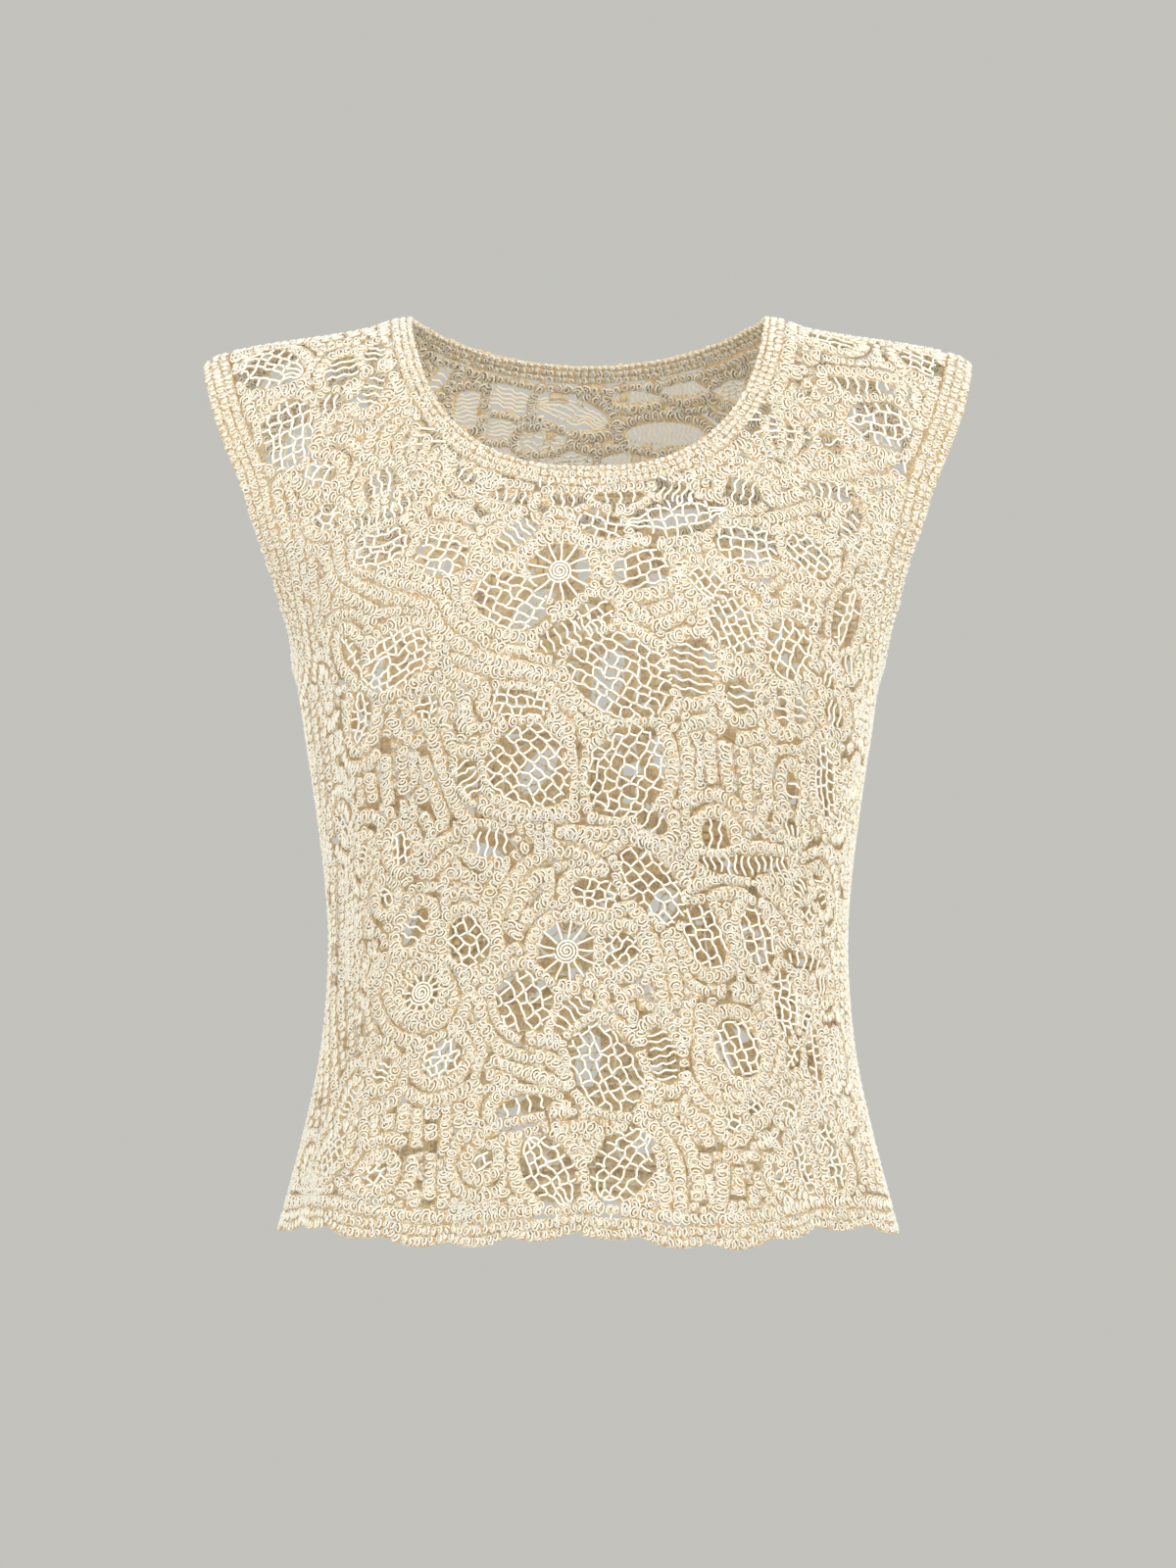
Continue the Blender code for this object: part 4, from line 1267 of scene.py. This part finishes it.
    def work_patches(self):
        """Small flat patches of close work wherever the rows leave worked ground uncovered."""
        bare = ~self.covered & self.kept_off & self.worked(self.cells, 0) & (self.owner == GROUND)
        for i, k in np.argwhere(bare):
            if self.covered[i, k]:
                continue
            middle = self.cells[i, k] + PATCH_HALF / 2
            patch = middle + np.array([[0, -PATCH_HALF], [0, PATCH_HALF]])
            self.cores.append(yarn_along(patch, 0, PATCH_HALF, CORE_THICK))
            room = bare[i - 1 : i + 1 + COVER, k - 1 : k + 1 + COVER].sum()
            if middle[1] < self.patch_reach and room > PATCH_ROOM:
                self.stitches += stitches_along(patch, self.random, 1, **NARROW_STITCH)
            self.covered[i - 1 : i + 1 + COVER, k - 1 : k + 1 + COVER] = True

    def work_rungs(self):
        """Short strands straight across every gap that is left between rows."""
        taken = np.zeros(self.shape, bool)
        reach = np.arange(RUNG_START, RUNG_LONGEST, RASTER_STEP / 2)
        for line in self.rows:
            even = along_line(line, RUNG_GAP)
            _, left = directions(even)
            for side in (left, -left):
                tries = even[:, None] + side[:, None] * reach[None, :, None]
                for places, stops in zip(tries, self.at(self.covered, tries)):
                    self.work_rung(places, stops, taken)

    def work_rung(self, places, stops, taken):
        """A strand over the first of these places that nothing covers, unless one lies beside it."""
        free = np.argmax(~stops)
        if stops[free] or free * RASTER_STEP > RUNG_START or not stops[free:].any():
            return
        end = free + np.argmax(stops[free:])
        i, k = np.round(places[(free + end) // 2] - self.low).astype(int)
        if end - free < RUNG_LEAST or taken[i, k]:
            return
        taken[i - RUNG_CLEAR : i + RUNG_CLEAR + 1, k - RUNG_CLEAR : k + RUNG_CLEAR + 1] = True
        tuck = (places[1] - places[0]) * RUNG_TUCK
        first, last = places[0] - tuck, places[end] + tuck
        points = max(3, int(np.linalg.norm(last - first) / RUNG_STEP))
        self.strand(np.linspace(first, last, points), RUNG_SWAY)

    def strand(self, line, swaying=STRAND_SWAY):
        """One plain strand of yarn, swaying a little."""
        _, left = directions(line)
        line = line + left * self.sway(line)[:, None] * swaying
        self.strands.append(yarn_along(line, STRAND_LIFT, NET_YARN, shade=STRAND_SHADE))

    def net_strand(self, motif, s, t):
        """A strand of a motif's net, wherever it runs inside the motif."""
        t = t + self.sway(np.stack([s, t], axis=1) + motif.centre) * NET_SWAY
        line = motif.lay(s, t)
        edge = motif.half_width(s) + NET_TUCK
        kept = (np.abs(t) < edge) & self.at(self.kept_off, line)
        for run in runs_of(kept):
            if run.stop - run.start > 1:
                self.strand(line[run])


def yarn_along(at, height, half, thick=None, shade=1):
    """One length of yarn: its places on the plan, how high each lies above the middle of the cloth, half
    its width and its thickness, and the share it takes of the painted shade that darkens the yarn with
    depth."""
    values = dict(height=height, half=half, thick=half if thick is None else thick, shade=shade)
    return dict(at=at, **{name: np.broadcast_to(value, len(at)) for name, value in values.items()})


def runs_of(kept):
    """Slices over which kept stays true."""
    steps = np.diff(np.concatenate([[0], kept.astype(int), [0]]))
    return [slice(a, b) for a, b in zip(np.flatnonzero(steps == 1), np.flatnonzero(steps == -1))]


def stitches_along(line, random, face, pitch, wide, half, yarn, turns, points):
    """Stitches side by side along a line, each a curl of yarn lying on one face of the cloth."""
    run = distances(line)
    count = max(1, int(round(run[-1] / pitch)))
    along, left = directions(line)
    wanted = (np.arange(count) + 0.5) * run[-1] / count
    middle, ahead, aside = (
        np.stack([np.interp(wanted, run, values[:, k]) for k in (0, 1)], axis=1)[:, None]
        for values in (line, along, left)
    )
    size, swing, slide, shift, tilt = random.uniform(-1, 1, (5, count, 1))
    stretch = random.uniform(0, STITCH_STRETCH, (count, 1))
    way = random.choice((-1, 1), (count, 1))
    turns = np.linspace(0, turns, points)
    progress = STITCH_REACH * np.linspace(-1, 1, points)
    open_out = np.minimum(STITCH_HEART + (1 - STITCH_HEART) * turns / STITCH_OPENS, 1)
    open_out = open_out * (1 + STITCH_UNEVEN * size)
    phase = 2 * np.pi * (way * turns + STITCH_SWING * swing)
    forward = wide * (open_out * np.cos(phase) * (1 - stretch) + progress * stretch)
    sideways = half * open_out * np.sin(phase)
    tilt = STITCH_TILT * tilt
    forward, sideways = (
        forward * np.cos(tilt) - sideways * np.sin(tilt) + STITCH_SLIDE * slide,
        forward * np.sin(tilt) + sideways * np.cos(tilt) + STITCH_SLIDE * shift,
    )
    at = middle + ahead * forward[..., None] + aside * sideways[..., None]
    height = face * (STITCH_LIFT + STITCH_LEAN * np.cos(phase))
    height[:, [0, -1]] *= STITCH_TUCK
    return [yarn_along(places, lifts, yarn) for places, lifts in zip(at, height)]


def turn_radius(line):
    """How tightly a line turns at each of its points."""
    steps = np.diff(line, axis=0)
    lengths = np.linalg.norm(steps, axis=1)
    turn = np.linalg.norm(np.diff(steps / lengths[:, None], axis=0), axis=1) / lengths[1:]
    return 1 / np.maximum(np.pad(turn, 1), 1 / FAR)


def core_along(line, half):
    """The flat core of a row, which closes the middles of its stitches and stands for the row's lower
    yarns; its colour carries lines of brown painted shade seen between them. It is narrower in sharp turns.
    """
    line = along_line(line, CORE_STEP)
    return yarn_along(line, 0, np.minimum(half, TURN_SHARE * turn_radius(line)), CORE_THICK)


def weave(lace, motif, s, lanes, drawn):
    """Wavy strands along a motif's lanes, tied to one another by short bent bars set like bricks."""
    bar = motif.gap * BAR_SHARE
    slide = lace.random.uniform(-BAR_SLIDE, BAR_SLIDE, len(lanes))
    starts = (np.arange(len(lanes)) % 2 + slide) * bar / 2
    lanes = lanes + NET_WAVE * np.cos(2 * np.pi * (s - starts[:, None]) / bar)
    share = np.linspace(0, 1, BAR_POINTS)
    for lane, is_drawn in zip(lanes, drawn):
        if is_drawn:
            lace.net_strand(motif, s, lane)
    for lane, following, start in zip(lanes[:-1], lanes[1:], starts):
        first = np.ceil((s[0] - start) / bar) * bar + start
        for at in np.arange(first, s[-1], bar):
            slant, bulge, luck = lace.random.uniform(-1, 1, 3)
            near = np.interp(at, s, lane)
            far = np.interp(at + BAR_SLANT * slant, s, following)
            if far - near < BAR_LEAST or luck > 1 - 2 * BAR_LEFT_OUT:
                continue
            bar_s = at + BAR_SLANT * slant * share + BAR_BULGE * bulge * np.sin(np.pi * share)
            lace.net_strand(motif, bar_s, near + (far - near) * share)


def fill_net(lace, motif):
    """A net whose strands run side by side."""
    s = np.arange(-motif.long / 2, motif.long / 2 + NET_STEP, NET_STEP)
    most = int((motif.wide / 2 + abs(motif.bend)) / motif.gap + 1)
    lanes = (np.arange(-most, most) + 0.5) * motif.gap
    weave(lace, motif, s, np.repeat(lanes[:, None], len(s), axis=1), np.full(len(lanes), True))


def fill_leaf(lace, motif):
    """A net whose strands draw together towards the ends of the motif."""
    count = max(1, int(round(motif.wide / motif.gap)) - 1)
    shares = np.linspace(-1, 1, count + 2)
    s = np.arange(-motif.long / 2, motif.long / 2 + NET_STEP, NET_STEP)
    weave(lace, motif, s, shares[:, None] * motif.half_width(s), np.abs(shares) < 1)


def fill_ladder(lace, motif):
    """Strands straight across the motif, side by side."""
    count = max(1, int(round(motif.long / motif.gap)) - 1)
    for k in range(count):
        at = ((k + 1) / (count + 1) - 0.5) * motif.long
        half = motif.half_width(np.array([at]))[0] + NET_TUCK
        t = np.linspace(-half, half, max(4, int(2 * half / NET_STEP) + 1))
        wave = LADDER_WAVE * np.sin(2 * np.pi * t / LADDER_WAVE_LENGTH + k)
        lace.net_strand(motif, at + wave, t)


def fill_columns(lace, motif):
    """Rows of stitches side by side along the motif, drawn together at its ends, with slits between."""
    lace.covered[lace.owner == lace.motifs.index(motif)] = False
    count = max(2, int(round(motif.wide / COLUMN_GAP)))
    shares = (np.arange(count) + 0.5) / count * 2 - 1
    s = np.linspace(-motif.long / 2, motif.long / 2, int(motif.long / ROW_STEP)) * COLUMN_LENGTH
    for share in shares:
        line = motif.lay(s, share * motif.half_width(s))
        lace.tape_runs(line, lace.at(lace.kept_off, line), ROW_LEAST, narrow=True)


def fill_rose(lace, motif):
    """A round disc worked in a spiral, with spokes out to the edge."""
    turns = ROSE_DISC / ROSE_PITCH
    phase = np.linspace(0, 2 * np.pi * turns, int(turns * ROSE_POINTS))
    radius = ROSE_PITCH * phase / (2 * np.pi) + ROSE_HEART
    spiral = motif.centre + radius[:, None] * np.stack([np.cos(phase), np.sin(phase)], axis=1)
    lace.strands.append(yarn_along(spiral, ROSE_LIFT, ROSE_YARN))
    ring = np.linspace(0, 2 * np.pi, ROSE_POINTS)
    circle = motif.centre + ROSE_DISC / 2 * np.stack([np.cos(ring), np.sin(ring)], axis=1)
    lace.cores.append(core_along(circle, half=ROSE_DISC / 2))
    for angle in np.linspace(0, 2 * np.pi, ROSE_SPOKES, endpoint=False):
        reach = np.linspace(ROSE_DISC, motif.long / 2 + NET_TUCK, BAR_POINTS + 1)
        lace.strand(motif.centre + reach[:, None] * np.array([np.cos(angle), np.sin(angle)]))


FILLS = dict(net=fill_net, leaf=fill_leaf, ladder=fill_ladder, columns=fill_columns, rose=fill_rose)


def band_rows(plan, rows, random, faces):
    """Rows of close stitches round a band, each given by its place from the first edge, all round, and
    half its width."""
    stitches, cores = [], []
    for place, half in rows:
        stitch = {**BAND_STITCH, "half": half - BAND_STITCH["yarn"]}
        line = np.stack([plan.round, np.broadcast_to(place, plan.round.shape)], axis=1)
        line = along_line(line, ROW_STEP)
        for face in faces:
            stitches += stitches_along(line, random, face, **stitch)
        cores.append(core_along(line, half=half))
    return stitches, cores


def yarn_mesh(name, plan, strands, material, sides=YARN_SIDES):
    """One mesh of yarns and flat cores, each a closed tube along its own line."""
    counts = np.array([len(strand["at"]) for strand in strands])
    at, height, half, thick, shade = (
        np.concatenate([strand[name] for strand in strands])
        for name in ("at", "height", "half", "thick", "shade")
    )
    half, thick = half * MM, thick * MM
    centre, out = plan.place(at, height)
    ends = counts.cumsum()
    starts = ends - counts
    here = np.arange(len(at))
    before, after = here - 1, here + 1
    before[starts], after[ends - 1] = starts, ends - 1
    along = unit(centre[after] - centre[before])
    side = unit(np.cross(along, out))
    up = np.cross(side, along)
    face = np.where(height < 0, -1, 1)[:, None]
    turn = np.pi / 2 + 2 * np.pi * (np.arange(sides) + (sides - 1) % 2 / 2) / sides
    spread = np.sqrt(2 * np.pi / (sides * np.sin(2 * np.pi / sides)))
    wide, deep = spread * face * np.cos(turn), spread * face * np.sin(turn)
    ring = centre[:, None] + side[:, None] * (half[:, None] * wide)[..., None]
    ring = ring + up[:, None] * (thick[:, None] * deep)[..., None]
    # Painted shade: the yarn is coloured darker the nearer it lies to the middle of the cloth, where the
    # stitches shade it; less on the outer face, and scaled by each strand's share
    depth = height[:, None] + thick[:, None] / MM * deep
    painted_shade = 1 - fade(np.abs(depth), DEEP, SURFACE_LEVEL)
    painted_shade = painted_shade * np.where(depth > 0, OUTER_SHADE_SHARE, 1) * shade[:, None]
    first = np.delete(here, ends - 1)
    corners = np.arange(sides)
    near = first[:, None] * sides + corners
    far = near + sides
    walls = np.stack([near, np.roll(near, -1, axis=1), np.roll(far, -1, axis=1), far], axis=2)
    caps = np.concatenate([starts[:, None] * sides + corners[::-1], (ends - 1)[:, None] * sides + corners])
    # Which points lie on the cores, whose colour runs in lines of painted shade and whose bump follows
    # them; fainter on the inner face
    lower = (half > thick)[:, None] * np.where(depth > 0, 1, INNER_LINES)
    marks = dict(painted_shade=painted_shade, lower=lower, inside=depth < 0)
    return mesh_object(name, ring.reshape(-1, 3), [walls.reshape(-1, 4), caps], marks, material)


def mesh_object(name, points, faces, marks, material):
    """A mesh from arrays, with its marks as attributes of the points."""
    data = bpy.data.meshes.new(name)
    data.vertices.add(len(points))
    data.vertices.foreach_set("co", points.astype(np.float32).ravel())
    corners = np.concatenate([some.ravel() for some in faces])
    sizes = np.concatenate([np.full(len(some), some.shape[1]) for some in faces])
    data.loops.add(len(corners))
    data.loops.foreach_set("vertex_index", corners.astype(np.int32))
    data.polygons.add(len(sizes))
    data.polygons.foreach_set("loop_start", (sizes.cumsum() - sizes).astype(np.int32))
    data.update(calc_edges=True)
    data.shade_smooth()
    for mark, values in marks.items():
        values = values.astype(np.float32).ravel()
        data.attributes.new(mark, "FLOAT", "POINT").data.foreach_set("value", values)
    data.materials.append(material)
    data.validate()
    return add(name, data)


def add(name, data, place=(0, 0, 0), turn=(0, 0, 0)):
    """A new object in the scene."""
    added = bpy.data.objects.new(name, data)
    added.location = place
    added.rotation_euler = turn
    bpy.context.scene.collection.objects.link(added)
    return added


def yarn_material():
    """Cotton yarn: cream, with tan painted shade where it lies deep among the stitches, and more of it on
    the inner face. On the flat cores, which stand for the lower yarns of the rows, cream and brown lines of
    painted shade wind about each other as fine as yarns, more faintly on the inner face."""
    material = bpy.data.materials.new("cotton yarn")
    material.use_nodes = True
    tree = material.node_tree
    place = shader_node(tree, "TexCoord", "Object", {})
    patches = shader_node(tree, "TexNoise", "Fac", dict(Vector=place, Scale=COLOUR_PATCHES))
    fibres = shader_node(tree, "TexNoise", "Fac", dict(Vector=place, Scale=FIBRE_SCALE))
    winding = dict(Vector=place, Scale=LOWER_SCALE, Distortion=LOWER_TWIST)
    winding = shader_node(tree, "TexNoise", "Fac", winding)
    painted_shade, lower, inside = (
        shader_node(tree, "Attribute", "Fac", {}, attribute_name=mark)
        for mark in ("painted_shade", "lower", "inside")
    )
    # Winding lines on the cores: cream yarn with brown painted shade between
    lines = calculate(tree, "MULTIPLY", winding, LOWER_LINES)
    lines = calculate(tree, "PINGPONG", lines, LOWER_HALF_WAVE)
    span = {"Value": lines, "From Min": LOWER_FROM, "From Max": LOWER_TO, "To Min": CORE_LINE_SHADE, "To Max": 0}
    core_shade_lines = shader_node(tree, "MapRange", "Result", span, interpolation_type="SMOOTHSTEP")
    # How much painted shade each point takes: by its depth on the yarn, and by the winding lines on the
    # cores
    painted_shade = mix(tree, "Float", lower, calculate(tree, "POWER", painted_shade, DEEP_POWER), core_shade_lines)
    plain = mix(tree, "Color", patches, YARN_LIGHT, YARN_WARM)
    # The painted shade's colour: on the inner or the outer face, and in the cores' lines
    deep = mix(tree, "Color", inside, OUTER_PAINTED_SHADE, INNER_PAINTED_SHADE)
    deep = mix(tree, "Color", lower, deep, CORE_PAINTED_SHADE)
    colour = mix(tree, "Color", painted_shade, plain, deep)
    relief = dict(Strength=1, Distance=LOWER_DEPTH, Height=calculate(tree, "MULTIPLY", lines, lower))
    relief = shader_node(tree, "Bump", "Normal", relief)
    fluff = dict(Strength=FIBRE_STRENGTH, Distance=FIBRE_DEPTH, Height=fibres, Normal=relief)
    fluff = shader_node(tree, "Bump", "Normal", fluff)
    look = {**YARN_SHADER, "Base Color": colour, "Normal": fluff}
    feed(tree, tree.nodes["Principled BSDF"], look)
    return material


def shader_node(tree, kind, output, inputs, **settings):
    """Adds a shader node and gives one of its outputs."""
    added = tree.nodes.new("ShaderNode" + kind)
    for name, value in settings.items():
        setattr(added, name, value)
    feed(tree, added, inputs)
    return socket_of(added.outputs, output)


def feed(tree, fed, inputs):
    """Joins a node's inputs to other nodes' outputs, or sets them."""
    for name, value in inputs.items():
        socket = socket_of(fed.inputs, name)
        if isinstance(value, bpy.types.NodeSocket):
            tree.links.new(value, socket)
        else:
            socket.default_value = value


def socket_of(sockets, identifier):
    return next(socket for socket in sockets if socket.identifier == identifier)


def calculate(tree, operation, first, second):
    return shader_node(tree, "Math", "Value", {"Value": first, "Value_001": second}, operation=operation)


def mix(tree, kind, factor, first, second):
    inputs = {"Factor_Float": factor, "A_" + kind: first, "B_" + kind: second}
    data_type = dict(Float="FLOAT", Color="RGBA")[kind]
    return shader_node(tree, "Mix", "Result_" + kind, inputs, data_type=data_type)


def studio():
    """Plain pale floor and background, three soft lights and the camera."""
    scene = bpy.context.scene
    scene.view_settings.view_transform = "Standard"
    scene.world = bpy.data.worlds.new("studio")
    scene.world.use_nodes = True
    scene.world.node_tree.nodes["Background"].inputs["Color"].default_value = BACKGROUND
    turn = np.arange(FLOOR_SIDES) * 2 * np.pi / FLOOR_SIDES
    rim = [(FLOOR_RADIUS * np.cos(a), FLOOR_RADIUS * np.sin(a), FLOOR_HEIGHT) for a in turn]
    ground = bpy.data.meshes.new("studio_floor")
    ground.from_pydata(rim, [], [tuple(range(FLOOR_SIDES))])
    paint = bpy.data.materials.new("studio floor")
    paint.use_nodes = True
    paint.node_tree.nodes["Principled BSDF"].inputs["Base Color"].default_value = FLOOR_COLOUR
    paint.node_tree.nodes["Principled BSDF"].inputs["Roughness"].default_value = 1.0
    ground.materials.append(paint)
    floor = add("studio_floor", ground)
    for name, place, size, watts in LIGHTS:
        light = bpy.data.lights.new(name, "AREA")
        light.shape = "DISK"
        light.size = size
        light.energy = watts
        aim = (LIGHTS_AIM - Vector(place)).to_track_quat("-Z", "Y").to_euler()
        add(name, light, place, aim)
    lens = bpy.data.cameras.new("camera")
    lens.lens = CAMERA_LENS
    scene.camera = add("camera", lens, (0, -CAMERA_DISTANCE, CAMERA_HEIGHT), (np.pi / 2, 0, 0))


def show(name, plan, strands, yarn, node, sides=YARN_SIDES):
    """One piece of the visual model, which stands for a CAD node."""
    piece = yarn_mesh(name, plan, strands, yarn, sides)
    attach(piece, "root")
    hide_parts(node)
    return piece


def make_panel(surface, yarn, name, neck, armholes, motifs, ribs, front, seed):
    """A panel of lace: its cores and nets are one sheet, and its stitches lie on that."""
    plan = PanelPlan(surface, front)
    outline = panel_outline(plan, neck, armholes, front)
    style = FRONT_STYLE if front else BACK_STYLE
    motifs = [Motif(plan, *motif) for motif in motifs]
    lace = Lace(plan, outline, motifs, [rib_line(plan, rib) for rib in ribs], seed, **style)
    lace.work()
    base = show(name + "_lace", plan, lace.cores + lace.strands, yarn, name)
    halves = dict(left=[], right=[])
    for stitch in lace.stitches:
        halves["left" if stitch["at"][0, 0] < 0 else "right"].append(stitch)
    rows = [
        show(f"{name}_stitches_{side}", plan, stitches, yarn, name, STITCH_SIDES)
        for side, stitches in halves.items()
    ]


def make_band(yarn, name, plan, rows, random, faces=(1,)):
    """A band of edging: its cores are one sheet, and its stitches lie on that."""
    stitches, cores = band_rows(plan, rows, random, faces)
    base = show(name + "_core", plan, cores, yarn, name)
    piece = show(name + "_stitches", plan, stitches, yarn, name, STITCH_SIDES)


def main():
    surface = Surface()
    yarn = yarn_material()
    random = np.random.default_rng(BANDS_SEED)
    neck_plan, neck = edge_plan(surface, neck_edge(surface), NECKBAND_WIDTH, np.zeros(3))
    make_band(yarn, "neckband", neck_plan, NECK_ROWS, random, faces=(1, -1))
    armholes = {}
    for side, name in ((-1, "armhole_band_left"), (1, "armhole_band_right")):
        edge = armhole_edge(surface, side)
        outward_from = surface.at(*edge).mean(axis=0) + np.array([side, 0, 0])
        band, armholes[side] = edge_plan(surface, edge, ARMHOLE_BAND_WIDTH, outward_from)
        make_band(yarn, name, band, ARMHOLE_BAND_ROWS, random)
    hem, depth = hem_plan(surface)
    hem_rows = [(depth * share, half) for share, half in HEM_ROWS]
    make_band(yarn, "hem_edging", hem, hem_rows, random)
    edges = (neck, armholes)
    make_panel(surface, yarn, "front_panel", *edges, FRONT_MOTIFS, FRONT_RIBS, True, FRONT_SEED)
    make_panel(surface, yarn, "back_panel", *edges, BACK_MOTIFS, BACK_RIBS, False, BACK_SEED)


main()
studio()
